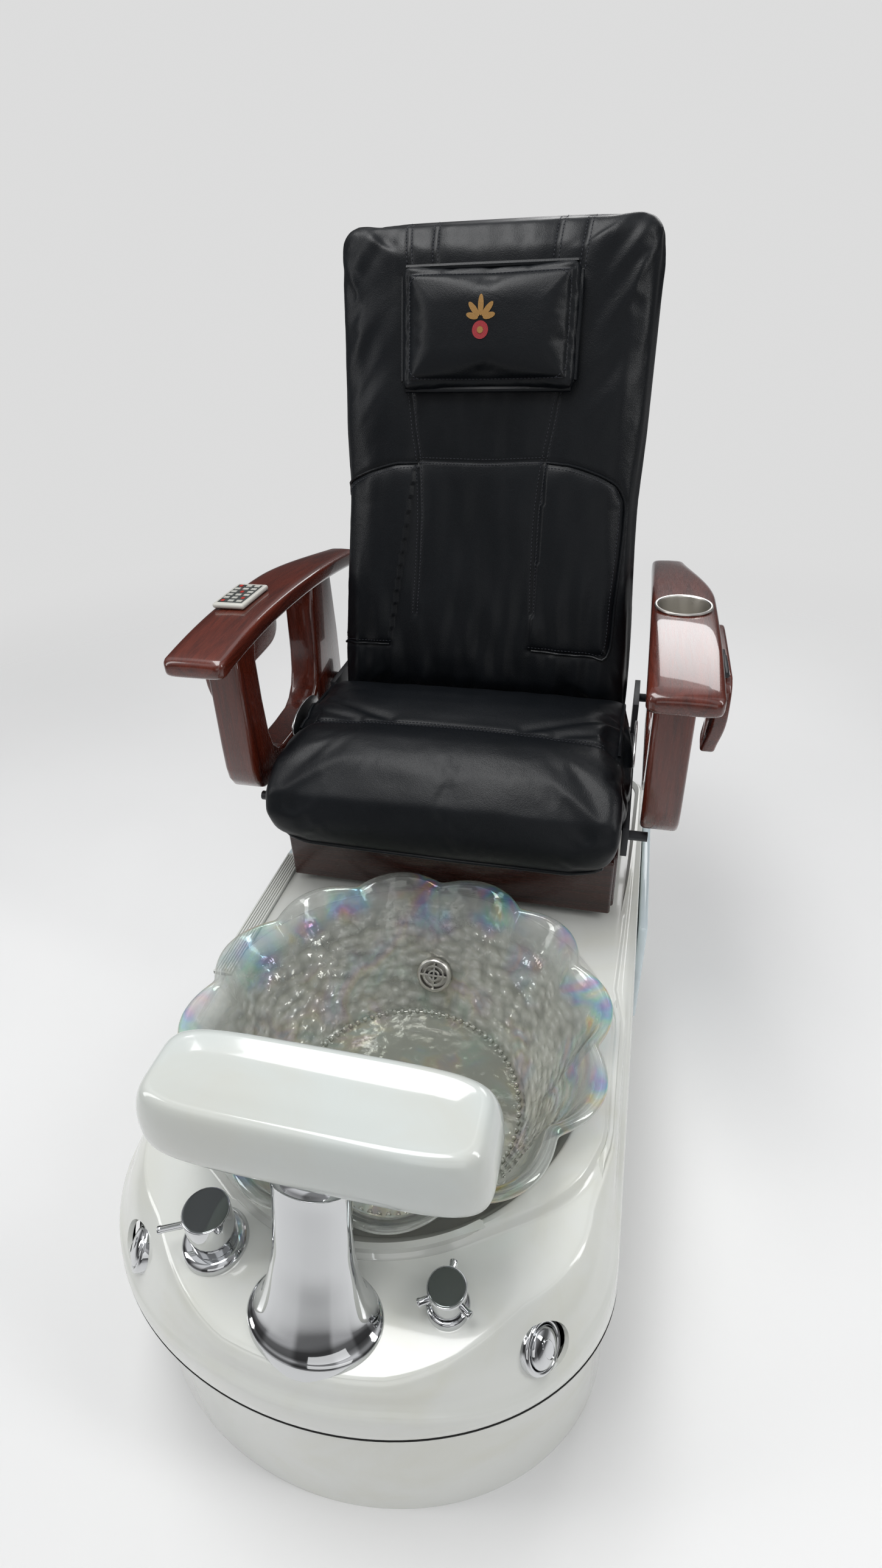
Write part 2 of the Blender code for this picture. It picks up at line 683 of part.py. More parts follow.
def make_seat_slide():
    """Fixed rails and the motor that pushes the seat along them."""
    for side, sign in (("right", 1), ("left", -1)):
        low = min(sign * (RAIL_X - 0.014), sign * (RAIL_X + 0.014))
        rail = block((low, 0.08, DECK_REAR_Z + 0.0005), (low + 0.028, 0.48, RAIL_TOP))
        keep(rail, f"slide_rail_{side}", "zinc")
    motor_z = 0.400
    motor = keep(
        along_depth(tube(0.016, 0.0087, 0.180, 0.330, 16)), "seat_motor", "black_plastic", at=(0, 0, motor_z)
    )
    weld_on(motor, block((-0.02, 0.20, DECK_REAR_Z + 0.0005), (0.02, 0.26, 0.387)))
    keep(along_depth(rod(0.008, 0.185, 0.3397, 12)), "seat_motor_rod", "zinc", at=(0, 0, motor_z))


def make_seat():
    frame = keep(block((-0.268, 0.06, 0.45), (0.268, 0.085, FRAME_TOP)), "seat_frame", "steel")
    weld_on(frame, block((-EAR_OUTER, 0.355, 0.45), (EAR_OUTER, 0.380, FRAME_TOP)))
    weld_on(frame, block((-0.012, 0.340, 0.386), (0.012, 0.360, 0.455)))
    for sign in (1, -1):

        def both(low, high):
            return block(low, high) if sign > 0 else block(*mirrored(low, high))

        weld_on(frame, both((RAIL_X - 0.014, 0.065, RAIL_TOP + GAP), (RAIL_X + 0.014, 0.375, 0.475)))
        weld_on(frame, both((EAR_INNER, 0.345, 0.452), (EAR_OUTER, 0.450, 0.630)))
        weld_on(frame, both((EAR_INNER, 0.040, 0.515), (EAR_OUTER, 0.350, 0.570)))
        weld_on(frame, both((0.026, 0.370, 0.436), (0.032, 0.478, 0.466)))
        for y, z in ((ARM_PIVOT_Y, ARM_PIVOT_Z), (0.055, 0.547)):
            stud = across(rod(SHAFT_RADIUS, 0.2955 * sign, 0.330 * sign, 12))
            weld_on(frame, stud, at=(0, y, z))
    weld_on(frame, across(rod(0.006, -0.031, 0.031, 12)), at=MOTOR_FOOT)
    cut_out(frame, across(rod(SHAFT_BORE, -0.31, 0.31, 12)), at=(0, RECLINE_Y, RECLINE_Z))
    shaft = across(rod(SHAFT_RADIUS, -0.3003, 0.3003, 12))
    keep(shaft, "recline_shaft", "zinc", at=(0, RECLINE_Y, RECLINE_Z))

    keep(block((-0.270, 0.056, FRAME_TOP + GAP), (0.270, 0.330, SEAT_BOTTOM - GAP)), "seat_pan", "ply")
    apron = soften(block((-0.284, 0.036, 0.390), (0.284, 0.054, SEAT_BOTTOM - GAP)), 0.003)
    keep(apron, "seat_apron", "mahogany")
    for side, sign in (("right", 1), ("left", -1)):
        ends = ((0.2715, 0.056, 0.390), (0.2885, 0.340, SEAT_BOTTOM - GAP))
        panel = block(*ends) if sign > 0 else block(*mirrored(*ends))
        keep(soften(panel, 0.003), f"seat_side_{side}", "mahogany")

    profile = [
        (0.326, SEAT_BOTTOM), (0.020, SEAT_BOTTOM), (-0.018, 0.525), (-0.026, 0.570), (-0.015, 0.615),
        (0.030, 0.650), (0.100, 0.666), (0.200, 0.668), (0.326, 0.655),
    ]
    cushion = side_slab(profile, -SEAT_HALF_WIDTH, SEAT_HALF_WIDTH)
    keep(soften(cushion, 0.014, 2, sharper_than=1.2), "seat_cushion", "leather")


def make_recline_motor():
    """Strut from the seat frame to the backrest frame, its upper pivot left open."""
    back = Vector((0, RECLINE_Y, RECLINE_Z))
    end = back + Vector(
        (
            0,
            STRUT_END_DEPTH * cos(BACK_LEAN) + STRUT_END_Z * sin(BACK_LEAN),
            -STRUT_END_DEPTH * sin(BACK_LEAN) + STRUT_END_Z * cos(BACK_LEAN),
        )
    )
    line = end - MOTOR_FOOT
    strut = pivot("recline_strut", MOTOR_FOOT, (-atan2(line.y, line.z), 0, 0))
    length = line.length
    body = keep(tube(0.020, 0.0087, 0.016, 0.170, 20), "recline_motor", "black_plastic", parent=strut)
    weld_on(body, block((-0.020, -0.014, -0.013), (0.020, 0.014, 0.019)), parent=strut)
    cut_out(body, across(rod(0.0064, -0.025, 0.025, 12)), parent=strut)
    piston = keep(rod(0.008, 0.100, length - 0.006, 12), "recline_rod", "zinc", parent=strut)
    weld_on(piston, across(rod(0.012, -0.0075, 0.0075, 14)), parent=strut, at=(0, 0, length))


def back_half_width(z):
    """Half-width of the backrest up its height: full at the hips, in at the waist, out at the ears."""
    waist = 0.016 * (1 - abs(ramp(z, 0.10, 0.62) * 2 - 1))
    ear = 0.002 * ramp(z, 0.62, 0.80)
    return 0.272 - 0.010 * ramp(z, 0.2, 0.7) - waist + ear


def make_backrest():
    back = pivot("backrest_pivot", (0, RECLINE_Y, RECLINE_Z), (-BACK_LEAN, 0, 0))
    mast = (MAST_X - 0.010, 0.035, 0.040), (MAST_X + 0.010, 0.062, 0.760)
    frame = keep(block(*mast), "back_frame", "steel", parent=back)
    weld_on(frame, block(*mirrored(*mast)), parent=back)
    for sign in (1, -1):
        lug = (MAST_X - 0.010, -0.014, -0.020), (MAST_X + 0.010, 0.062, 0.050)
        weld_on(frame, block(*lug) if sign > 0 else block(*mirrored(*lug)), parent=back)
        fork = (0.013, 0.036, 0.192), (0.019, 0.066, 0.256)
        weld_on(frame, block(*fork) if sign > 0 else block(*mirrored(*fork)), parent=back)
    for low, high in ((0.250, 0.274), (0.737, 0.759)):
        weld_on(frame, block((-0.190, 0.036, low), (0.190, 0.061, high)), parent=back)
        weld_on(frame, block((-0.014, 0.050, low + 0.002), (0.014, 0.125, high - 0.002)), parent=back)
    cut_out(frame, across(rod(SHAFT_BORE, -0.22, 0.22, 12)), parent=back)
    screw_at = (0, SCREW_DEPTH, 0)
    cut_out(frame, rod(0.0073, 0.20, 0.80, 12), parent=back, at=screw_at)
    keep(rod(0.0065, 0.245, 0.765, 12), "lead_screw", "zinc", parent=back, at=screw_at)

    carriage = block((-0.178, 0.085, 0.280), (0.178, 0.0975, 0.380))
    carriage = keep(carriage, "massage_carriage", "black_plastic", parent=back)
    weld_on(carriage, block((-0.020, 0.090, 0.310), (0.020, 0.127, 0.350)), parent=back)
    weld_on(carriage, block((0.050, 0.090, 0.300), (0.130, 0.130, 0.360)), parent=back)
    for sign in (1, -1):
        arm = (0.135, 0.045, 0.312), (0.150, 0.087, 0.348)
        shoe = (0.165, 0.0627, 0.290), (0.200, 0.087, 0.370)
        for ends in (arm, shoe):
            weld_on(carriage, block(*ends) if sign > 0 else block(*mirrored(*ends)), parent=back)
    cut_out(carriage, rod(0.0073, 0.25, 0.40, 12), parent=back, at=screw_at)
    kneader_at = (0, KNEADER_DEPTH, KNEADER_Z)
    cut_out(carriage, across(rod(0.0064, -0.16, 0.16, 12)), parent=back, at=kneader_at)
    kneader = keep(across(rod(0.006, -0.156, 0.156, 12)), "kneader", "zinc", parent=back, at=kneader_at)
    for low, high, offset in ((0.050, 0.075, 0.003), (-0.075, -0.050, -0.003)):
        disc = across(rod(0.017, low, high, 16))
        weld_on(kneader, disc, parent=back, at=(0, KNEADER_DEPTH + offset, KNEADER_Z))

    shell_box = block((-0.252, CUSHION_REAR + GAP, SHELL_BOTTOM), (0.252, SHELL_REAR, SHELL_TOP))
    rear_edges = [
        edge
        for edge in shell_box.edges
        if all(vert.co.y > 0.1 for vert in edge.verts) and any(vert.co.z > 0.5 for vert in edge.verts)
    ]
    bmesh.ops.bevel(
        shell_box, geom=rear_edges, offset=0.045, segments=4, affect="EDGES", profile=0.5, material=-1
    )
    shell = keep(shell_box, "back_shell", "black_plastic", parent=back)
    inside = block((-0.245, -0.02, 0.0), (0.245, SHELL_REAR - SHELL_WALL, SHELL_TOP - SHELL_WALL))
    inner_edges = [
        edge
        for edge in inside.edges
        if all(vert.co.y > 0.1 for vert in edge.verts) and any(vert.co.z > 0.5 for vert in edge.verts)
    ]
    bmesh.ops.bevel(
        inside, geom=inner_edges, offset=0.038, segments=4, affect="EDGES", profile=0.5, material=-1
    )
    cut_out(shell, inside, parent=back)

    heights = [BACK_BOTTOM, 0.15, 0.28, 0.40, 0.52, 0.64, 0.74, 0.79]
    outline = [(back_half_width(z), z) for z in heights]
    corner = 0.040
    top_width = back_half_width(0.80)
    for step in (1, 2, 3):
        angle = radians(30 * step)
        outline.append((top_width - corner + corner * cos(angle), BACK_TOP - corner + corner * sin(angle)))
    outline += [(-x, z) for x, z in reversed(outline)]
    pad = bmesh.new()
    face = pad.faces.new([pad.verts.new((x, BACK_FRONT, z)) for x, z in outline])
    grown = bmesh.ops.extrude_face_region(pad, geom=[face])
    moved = [part for part in grown["geom"] if isinstance(part, bmesh.types.BMVert)]
    bmesh.ops.translate(pad, verts=moved, vec=(0, CUSHION_REAR - BACK_FRONT, 0))
    bmesh.ops.recalc_face_normals(pad, faces=pad.faces[:])
    front = [edge for edge in pad.edges if all(vert.co.y < 0 for vert in edge.verts)]
    bmesh.ops.bevel(pad, geom=front, offset=0.020, segments=2, affect="EDGES", profile=0.5, material=-1)
    keep(pad, "back_cushion", "leather", parent=back)

    pillow = soften(block((-0.140, -0.088, 0.590), (0.140, BACK_FRONT - 0.0005, 0.757)), 0.012, 2)
    keep(pillow, "head_pillow", "leather", parent=back)


def arm_top(y):
    fall = 0.37 if y < ARM_CROWN_Y else 0.20
    return ARM_CROWN_Z - fall * (y - ARM_CROWN_Y) ** 2


def arm_outer_edge(y):
    return ARM_OUTER - 0.044 * ramp(y, 0.30, 0.60)


def make_armrests():
    """Bowed wooden rests on looped supports that tip up about the seat frame's studs."""
    for side, sign in (("right", 1), ("left", -1)):
        round_off = 0.006
        stations = [ARM_FRONT, ARM_FRONT + 0.008, 0.0, 0.06, 0.12, 0.17, 0.23, 0.30, 0.38, 0.46, 0.53, 0.56]
        rings = []
        for y in [*stations, ARM_REAR]:
            end = min(y - ARM_FRONT, ARM_REAR - y, 0.01) / 0.01
            pinch = round_off * (1 - sqrt(max(0, 1 - (1 - end) ** 2)))
            inner = ARM_INNER + pinch
            outer = arm_outer_edge(y) - pinch
            high = arm_top(y) - pinch
            low = arm_top(y) - ARM_THICKNESS + pinch
            section = [
                (inner, low + round_off), (inner, high - round_off), (inner + round_off, high),
                (outer - round_off, high), (outer, high - round_off), (outer, low + round_off),
                (outer - round_off, low), (inner + round_off, low),
            ]
            rings.append([Vector((x * sign, y, z)) for x, z in section])
        rest = keep(skin(rings), f"armrest_{side}", "mahogany")
        loop = [
            (0.030, 0.842), (0.022, 0.700), (0.020, 0.610), (0.034, 0.580), (0.060, 0.566), (0.415, 0.566),
            (0.446, 0.585), (0.452, 0.700), (0.446, 0.822), (0.360, 0.845), (0.338, 0.780), (0.330, 0.700),
            (0.312, 0.640), (0.285, 0.612), (0.135, 0.605), (0.104, 0.630), (0.092, 0.700), (0.090, 0.780),
            (0.108, 0.846),
        ]
        ends = sorted((sign * POST_INNER, sign * POST_OUTER))
        weld_on(rest, side_slab(loop, *ends))
        bore = across(rod(SHAFT_BORE, 0.31 * sign, 0.3335 * sign, 12))
        cut_out(rest, bore, at=(0, ARM_PIVOT_Y, ARM_PIVOT_Z))
        if side == "right":
            cut_out(rest, rod(CUP_RADIUS + 0.0005, 0.80, 0.90, 24), at=CUP)
        make_tray(side, sign)
    brim = ARM_CROWN_Z + 0.0005
    beaker = [
        (0, 0.795), (CUP_RADIUS, 0.795), (CUP_RADIUS, brim), (0.0445, brim), (0.0445, brim + 0.0025),
        (CUP_RADIUS - 0.0015, brim + 0.0025), (CUP_RADIUS - 0.0015, 0.7965), (0, 0.7965),
    ]
    keep(turned(beaker, 24), "cup_insert", "zinc", at=CUP)
    remote = soften(block((-0.394, 0.120, ARM_CROWN_Z + 0.0005), (-0.338, 0.220, 0.8725)), 0.004)
    keep(remote, "remote_keypad", "grey_plastic")


def make_tray(side, sign):
    """Manicure tray that hangs outside the armrest and folds up level with it."""
    outline = [
        (0.100, 0.705), (0.108, 0.688), (0.125, 0.680), (0.335, 0.680), (0.352, 0.688), (0.360, 0.705),
        (0.360, 0.780), (0.350, 0.795), (0.330, 0.800), (0.130, 0.800), (0.110, 0.795), (0.100, 0.780),
    ]
    ends = sorted((sign * TRAY_INNER, sign * TRAY_OUTER))
    board = soften(side_slab(outline, *ends), 0.005, 1, sharper_than=1.2)
    tray = keep(board, f"tray_{side}", "mahogany")
    lug = (TRAY_AXIS_X - 0.0055, 0.181, 0.794), (TRAY_AXIS_X + 0.0055, 0.215, 0.812)
    weld_on(tray, block(*lug) if sign > 0 else block(*mirrored(*lug)))
    axis_at = (TRAY_AXIS_X * sign, 0, TRAY_AXIS_Z)
    cut_out(tray, along_depth(rod(0.0033, 0.17, 0.208, 10)), at=axis_at)
    plate = (0.374, 0.115, 0.8025), (0.412, 0.175, 0.8095)
    upright = (0.374, 0.115, 0.8080), (0.392, 0.175, 0.8297)
    hinge = keep(block(*plate) if sign > 0 else block(*mirrored(*plate)), f"tray_hinge_{side}", "steel")
    weld_on(hinge, block(*upright) if sign > 0 else block(*mirrored(*upright)))
    weld_on(hinge, along_depth(rod(0.0046, 0.115, 0.180, 10)), at=axis_at)
    weld_on(hinge, along_depth(rod(0.003, 0.170, 0.204, 10)), at=axis_at)


def main():
    clear_scene()
    deck = make_base()
    bowl = make_bowl()
    make_drain()
    make_jet(bowl, deck)
    make_footrest(deck)
    make_mixer(deck)
    make_diverter(deck)
    make_buttons(deck)
    make_base_inside()
    make_seat_slide()
    make_seat()
    make_recline_motor()
    make_backrest()
    make_armrests()


main()
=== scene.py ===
import json
from math import cos, pi, radians, sin, sqrt

import bmesh
import bpy
import numpy as np
from bpy.props import FloatProperty, FloatVectorProperty, IntProperty, PointerProperty
from mathutils import Matrix, Vector, noise
from mathutils.bvhtree import BVHTree

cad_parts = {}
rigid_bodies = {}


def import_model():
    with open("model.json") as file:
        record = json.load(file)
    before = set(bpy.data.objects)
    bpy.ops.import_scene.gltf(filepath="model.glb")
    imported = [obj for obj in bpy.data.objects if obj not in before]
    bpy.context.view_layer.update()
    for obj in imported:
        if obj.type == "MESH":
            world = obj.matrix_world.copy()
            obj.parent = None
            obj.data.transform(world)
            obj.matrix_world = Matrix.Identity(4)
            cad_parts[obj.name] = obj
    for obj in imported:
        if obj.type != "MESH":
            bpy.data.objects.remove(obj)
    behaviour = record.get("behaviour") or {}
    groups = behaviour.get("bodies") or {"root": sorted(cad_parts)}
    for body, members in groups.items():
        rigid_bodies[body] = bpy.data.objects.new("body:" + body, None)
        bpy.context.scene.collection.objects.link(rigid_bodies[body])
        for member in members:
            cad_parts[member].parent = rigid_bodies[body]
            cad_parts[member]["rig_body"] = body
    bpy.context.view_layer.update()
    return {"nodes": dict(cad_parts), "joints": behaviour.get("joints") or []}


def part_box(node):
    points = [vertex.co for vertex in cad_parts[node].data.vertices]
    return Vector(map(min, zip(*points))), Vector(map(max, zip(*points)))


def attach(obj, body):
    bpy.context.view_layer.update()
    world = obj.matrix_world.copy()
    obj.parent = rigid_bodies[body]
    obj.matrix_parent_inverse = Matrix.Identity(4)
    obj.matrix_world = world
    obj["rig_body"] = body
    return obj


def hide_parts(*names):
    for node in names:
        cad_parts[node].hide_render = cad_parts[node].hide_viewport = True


bl_info = {
    "name": "Pedicure spa chair",
    "version": (1, 0, 0),
    "blender": (4, 5, 0),
    "location": "3D View > Sidebar > Spa chair",
    "description": "Builds a pedicure spa chair round its fixed mechanical frame",
    "category": "Object",
}

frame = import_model()

JOINTS = {joint["name"]: joint for joint in frame["joints"]}
RECLINE_AXIS = Vector(JOINTS["backrest_recline"]["pos_m"])
CUSHION_VOXEL = 0.007
PILLOW_VOXEL = 0.005
SIMULATION_FRAMES = 20


# ---------------------------------------------------------------- shader graphs


class Wire:
    """One output socket, with arithmetic that adds Math nodes."""

    def __init__(self, graph, socket):
        self.graph = graph
        self.socket = socket

    def math(self, operation, *others, clamp=False):
        return self.graph.add("ShaderNodeMath", {"operation": operation, "use_clamp": clamp}, [self, *others])

    def __add__(self, other):
        return self.math("ADD", other)

    def __sub__(self, other):
        return self.math("SUBTRACT", other)

    def __mul__(self, other):
        return self.math("MULTIPLY", other)

    def __truediv__(self, other):
        return self.math("DIVIDE", other)

    def __pow__(self, other):
        return self.math("POWER", other)

    def __radd__(self, other):
        return self.math("ADD", other)

    def __rmul__(self, other):
        return self.math("MULTIPLY", other)

    def __rsub__(self, other):
        return self.graph.add("ShaderNodeMath", {"operation": "SUBTRACT"}, [other, self])

    def clamped(self):
        return self.math("ADD", 0.0, clamp=True)

    def stepped(self, low, high):
        """0 below low, 1 above high, eased between."""
        settings = {"interpolation_type": "SMOOTHSTEP"}
        return self.graph.add("ShaderNodeMapRange", settings, {"Value": self, "From Min": low, "From Max": high})


class Graph:
    """A new material's node tree, or a given owner's, such as a world's."""

    def __init__(self, name, owner=None):
        self.material = owner or bpy.data.materials.new(name)
        self.material.use_nodes = True
        self.tree = self.material.node_tree
        self.shader = self.tree.nodes["Background" if owner else "Principled BSDF"]

    def add(self, kind, settings=None, values=None, out=0):
        node = self.tree.nodes.new(kind)
        for key, value in (settings or {}).items():
            if key == "stops":
                stops = node.color_ramp.elements
                while len(stops) > 1:
                    stops.remove(stops[0])
                stops[0].position, stops[0].color = value[0][0], (*value[0][1], 1)
                for place, colour in value[1:]:
                    stops.new(place).color = (*colour, 1)
            else:
                setattr(node, key, value)
        pairs = values.items() if isinstance(values, dict) else enumerate(values or [])
        for key, value in pairs:
            if isinstance(value, Wire):
                self.tree.links.new(value.socket, node.inputs[key])
            else:
                node.inputs[key].default_value = value
        return Wire(self, node.outputs[out])

    def place(self):
        return self.add("ShaderNodeTexCoord", out="Object")

    def stretched(self, scale, turn=(0, 0, 0)):
        values = {"Vector": self.place(), "Scale": scale, "Rotation": turn}
        return self.add("ShaderNodeMapping", None, values)

    def noise(self, scale, detail=3.0, vector=None, rough=0.5, distort=0.0):
        values = {"Vector": vector or self.place(), "Scale": scale, "Detail": detail, "Roughness": rough}
        values["Distortion"] = distort
        return self.add("ShaderNodeTexNoise", None, values)

    def cells(self, scale, feature="F1", vector=None, out=0):
        values = {"Vector": vector or self.place(), "Scale": scale}
        return self.add("ShaderNodeTexVoronoi", {"feature": feature}, values, out)

    def ramp(self, factor, stops):
        return self.add("ShaderNodeValToRGB", {"stops": stops}, {"Fac": factor})

    def blend(self, factor, first, second):
        node = self.tree.nodes.new("ShaderNodeMix")
        node.data_type = "RGBA"
        for index, value in ((0, factor), (6, first), (7, second)):
            if isinstance(value, Wire):
                self.tree.links.new(value.socket, node.inputs[index])
            else:
                node.inputs[index].default_value = value if index == 0 else (*value[:3], 1)
        return Wire(self, node.outputs[2])

    def bump(self, height, distance, strength=1.0):
        return self.add("ShaderNodeBump", None, {"Height": height, "Distance": distance, "Strength": strength})

    def finish(self, colour=None, rough=None, normal=None, metal=None, alpha=None, coat=None, **constants):
        given = {
            "Base Color": colour,
            "Roughness": rough,
            "Normal": normal,
            "Metallic": metal,
            "Alpha": alpha,
            "Coat Weight": coat,
        }
        for key, value in given.items():
            if isinstance(value, Wire):
                self.tree.links.new(value.socket, self.shader.inputs[key])
            elif value is not None:
                value = (*value[:3], 1) if key == "Base Color" else value
                self.shader.inputs[key].default_value = value
        for key, value in constants.items():
            self.shader.inputs[key.replace("_", " ").title().replace("Ior", "IOR")].default_value = value
        return self.material


def leather_finish(colour):
    """Black upholstery leather: pebbled grain, soft creases and a slightly worn sheen."""
    g = Graph("black leather")
    pebbles = g.cells(620, "SMOOTH_F1")
    pores = g.noise(1500, 2)
    creases = g.noise(38, 4, distort=0.6)
    patch = g.noise(7, 3)
    height = pebbles * 0.55 + pores * 0.2 + creases.stepped(0.35, 0.65) * 0.35
    tone = g.blend(patch, [c * 0.75 for c in colour], [c * 1.5 for c in colour])
    rough = patch * 0.16 + pebbles * 0.10 + 0.27
    normal = g.bump(height, 0.0006, 0.55)
    return g.finish(tone, rough, normal, coat=0.04, coat_roughness=0.3, specular_ior_level=0.26)


def lacquer_finish(name, light, dark, along="Y", coat=1.0):
    """Stained hardwood under polyester lacquer: ribbon grain, pores and slow waves in the gloss."""
    g = Graph(name)
    scale = {"Y": (26, 1.7, 26), "X": (1.7, 26, 26), "Z": (26, 26, 1.7)}[along]
    grain_place = g.stretched(scale)
    ribbon = g.noise(1.6, 6, grain_place, 0.62, 1.4)
    fine_place = g.stretched(tuple(9 * value for value in scale))
    pores = g.noise(1.3, 3, fine_place)
    cloud = g.noise(5, 2)
    mixed = (ribbon * 0.75 + pores * 0.3 + cloud * 0.15).stepped(0.38, 0.82)
    middle = [(a + b) / 2 for a, b in zip(light, dark)]
    tone = g.ramp(mixed, [(0.0, dark), (0.45, middle), (1.0, light)])
    rough = pores * 0.10 + 0.22
    normal = g.bump(cloud + pores * 0.05, 0.0008, 0.12)
    return g.finish(tone, rough, normal, coat=coat, coat_roughness=0.03, coat_ior=1.5)


def gelcoat_finish(name, colour, swirl):
    """Cast pearl gelcoat: cloudy cream swirls under a hard gloss."""
    g = Graph(name)
    flow = g.noise(3.2, 5, distort=2.2)
    veil = g.noise(11, 4, distort=1.2)
    fleck = g.cells(900)
    amount = flow.stepped(0.45, 0.75) * 0.6 + veil.stepped(0.5, 0.8) * 0.25
    tone = g.blend(amount, colour, swirl)
    tone = g.blend(fleck.stepped(0.10, 0.02) * 0.10, tone, [1.0, 1.0, 0.97])
    rough = veil * 0.06 + 0.10
    normal = g.bump(g.noise(14, 2), 0.0006, 0.10)
    return g.finish(tone, rough, normal, coat=0.6, coat_roughness=0.04, subsurface_weight=0.0)


def hammered_glass_finish():
    """Cast glass with a dimpled wall and a rainbow film that is strongest near the rim, with painted light and
    shade: pale dimple centres, dark ridges between them and a dark rim edge where it is seen edge-on.
    """
    g = Graph("hammered glass")
    facing = g.add("ShaderNodeLayerWeight", None, {"Blend": 0.35}, "Facing")
    height = g.add("ShaderNodeSeparateXYZ", None, {"Vector": g.place()}, "Z")
    drift = g.noise(9, 4, distort=1.5)
    hue = (drift * 2.6 + facing * 0.8 + height * 3.0).math("FRACT")
    film = g.ramp(
        hue,
        [
            (0.00, (0.70, 0.78, 0.74)),
            (0.16, (0.86, 0.76, 0.26)),
            (0.28, (0.84, 0.44, 0.24)),
            (0.40, (0.74, 0.28, 0.56)),
            (0.54, (0.34, 0.28, 0.78)),
            (0.68, (0.22, 0.60, 0.88)),
            (0.84, (0.38, 0.80, 0.56)),
            (1.00, (0.70, 0.78, 0.74)),
        ],
    )
    rim = height.stepped(0.345, 0.415)
    floor = height.stepped(0.232, 0.222)
    dimples = g.cells(56, "SMOOTH_F1", g.stretched((1.0, 1.0, 1.4)))
    ripples = g.noise(90, 3)
    dents = dimples + ripples * 0.3
    # Painted light and shade: the dimple centres are painted pale and the ridges between them dark, following the
    # same pattern as the bump.
    wall = g.ramp(dents, [(0.30, (0.76, 0.77, 0.71)), (0.55, (0.62, 0.63, 0.57)), (0.85, (0.40, 0.41, 0.37))])
    wall = g.blend(floor, wall, [0.44, 0.46, 0.40])
    patches = g.noise(13, 2).stepped(0.42, 0.62)
    tone = g.blend((rim * 0.85 * patches + patches * 0.16).clamped(), wall, film)
    tone = g.blend(rim * (1.0 - patches) * 0.7, tone, [0.74, 0.78, 0.74])
    # Painted reflection: the rim goes near black where it is seen edge-on, standing in for dark surroundings seen
    # in and through the glass.
    tone = g.blend(facing.stepped(0.50, 0.92) * rim * 0.85, tone, [0.10, 0.115, 0.115])
    normal = g.bump(dents * (1.0 - rim * 0.9) * (1.0 - floor * 0.6), 0.0055, 0.9)
    alpha = (facing * 0.70 + 0.66 - rim * 0.34).clamped()
    rough = dimples * 0.05 + 0.04
    return g.finish(tone, rough, normal, 0.30, alpha, coat=1.0, coat_roughness=0.01, coat_ior=1.6,
                    transmission_weight=0.15)


def metal_finish(name, colour, rough, grain=0.0, metal=1.0):
    """Plain, brushed or painted metal with faint handling marks."""
    g = Graph(name)
    smudge = g.noise(13, 4, distort=0.8)
    lines = g.noise(30, 3, g.stretched((4, 4, 60)))
    tone = g.blend(smudge * 0.35, colour, [c * 0.86 for c in colour])
    vary = smudge * 0.06 + lines * grain + rough
    normal = g.bump(lines * grain + smudge * 0.1, 0.0002, 0.25)
    return g.finish(tone, vary, normal, metal)


def moulded_finish(name, colour, rough=0.45, texture=0.3):
    """Moulded plastic or rubber with a fine spark-eroded texture."""
    g = Graph(name)
    grit = g.noise(900, 2)
    cloud = g.noise(9, 3)
    tone = g.blend(cloud, [c * 0.85 for c in colour], [c * 1.15 for c in colour])
    return g.finish(tone, cloud * 0.1 + rough, g.bump(grit, 0.0002, texture))


def ply_finish():
    """Bare birch plywood with its plies on edge."""
    g = Graph("bare plywood")
    plies = g.add("ShaderNodeTexWave", {"bands_direction": "Z"}, {"Vector": g.place(), "Scale": 70.0})
    fibre = g.noise(9, 4, g.stretched((3, 40, 40)))
    tone = g.blend(fibre * 0.7 + plies * 0.2, [0.50, 0.34, 0.20], [0.30, 0.18, 0.09])
    return g.finish(tone, 0.7, g.bump(fibre, 0.0003, 0.4))


def thread_finish(name, colour):
    """Embroidery thread laid side by side, with painted shade in the grooves between strands."""
    g = Graph(name)
    lay = g.add("ShaderNodeTexWave", {"bands_direction": "DIAGONAL"}, {"Vector": g.place(), "Scale": 480.0})
    # Painted shade: each strand darkens towards the grooves beside it, following the same bands as the bump.
    tone = g.blend(lay, [c * 0.55 for c in colour], colour)
    return g.finish(tone, 0.45, g.bump(lay, 0.0004, 0.6))


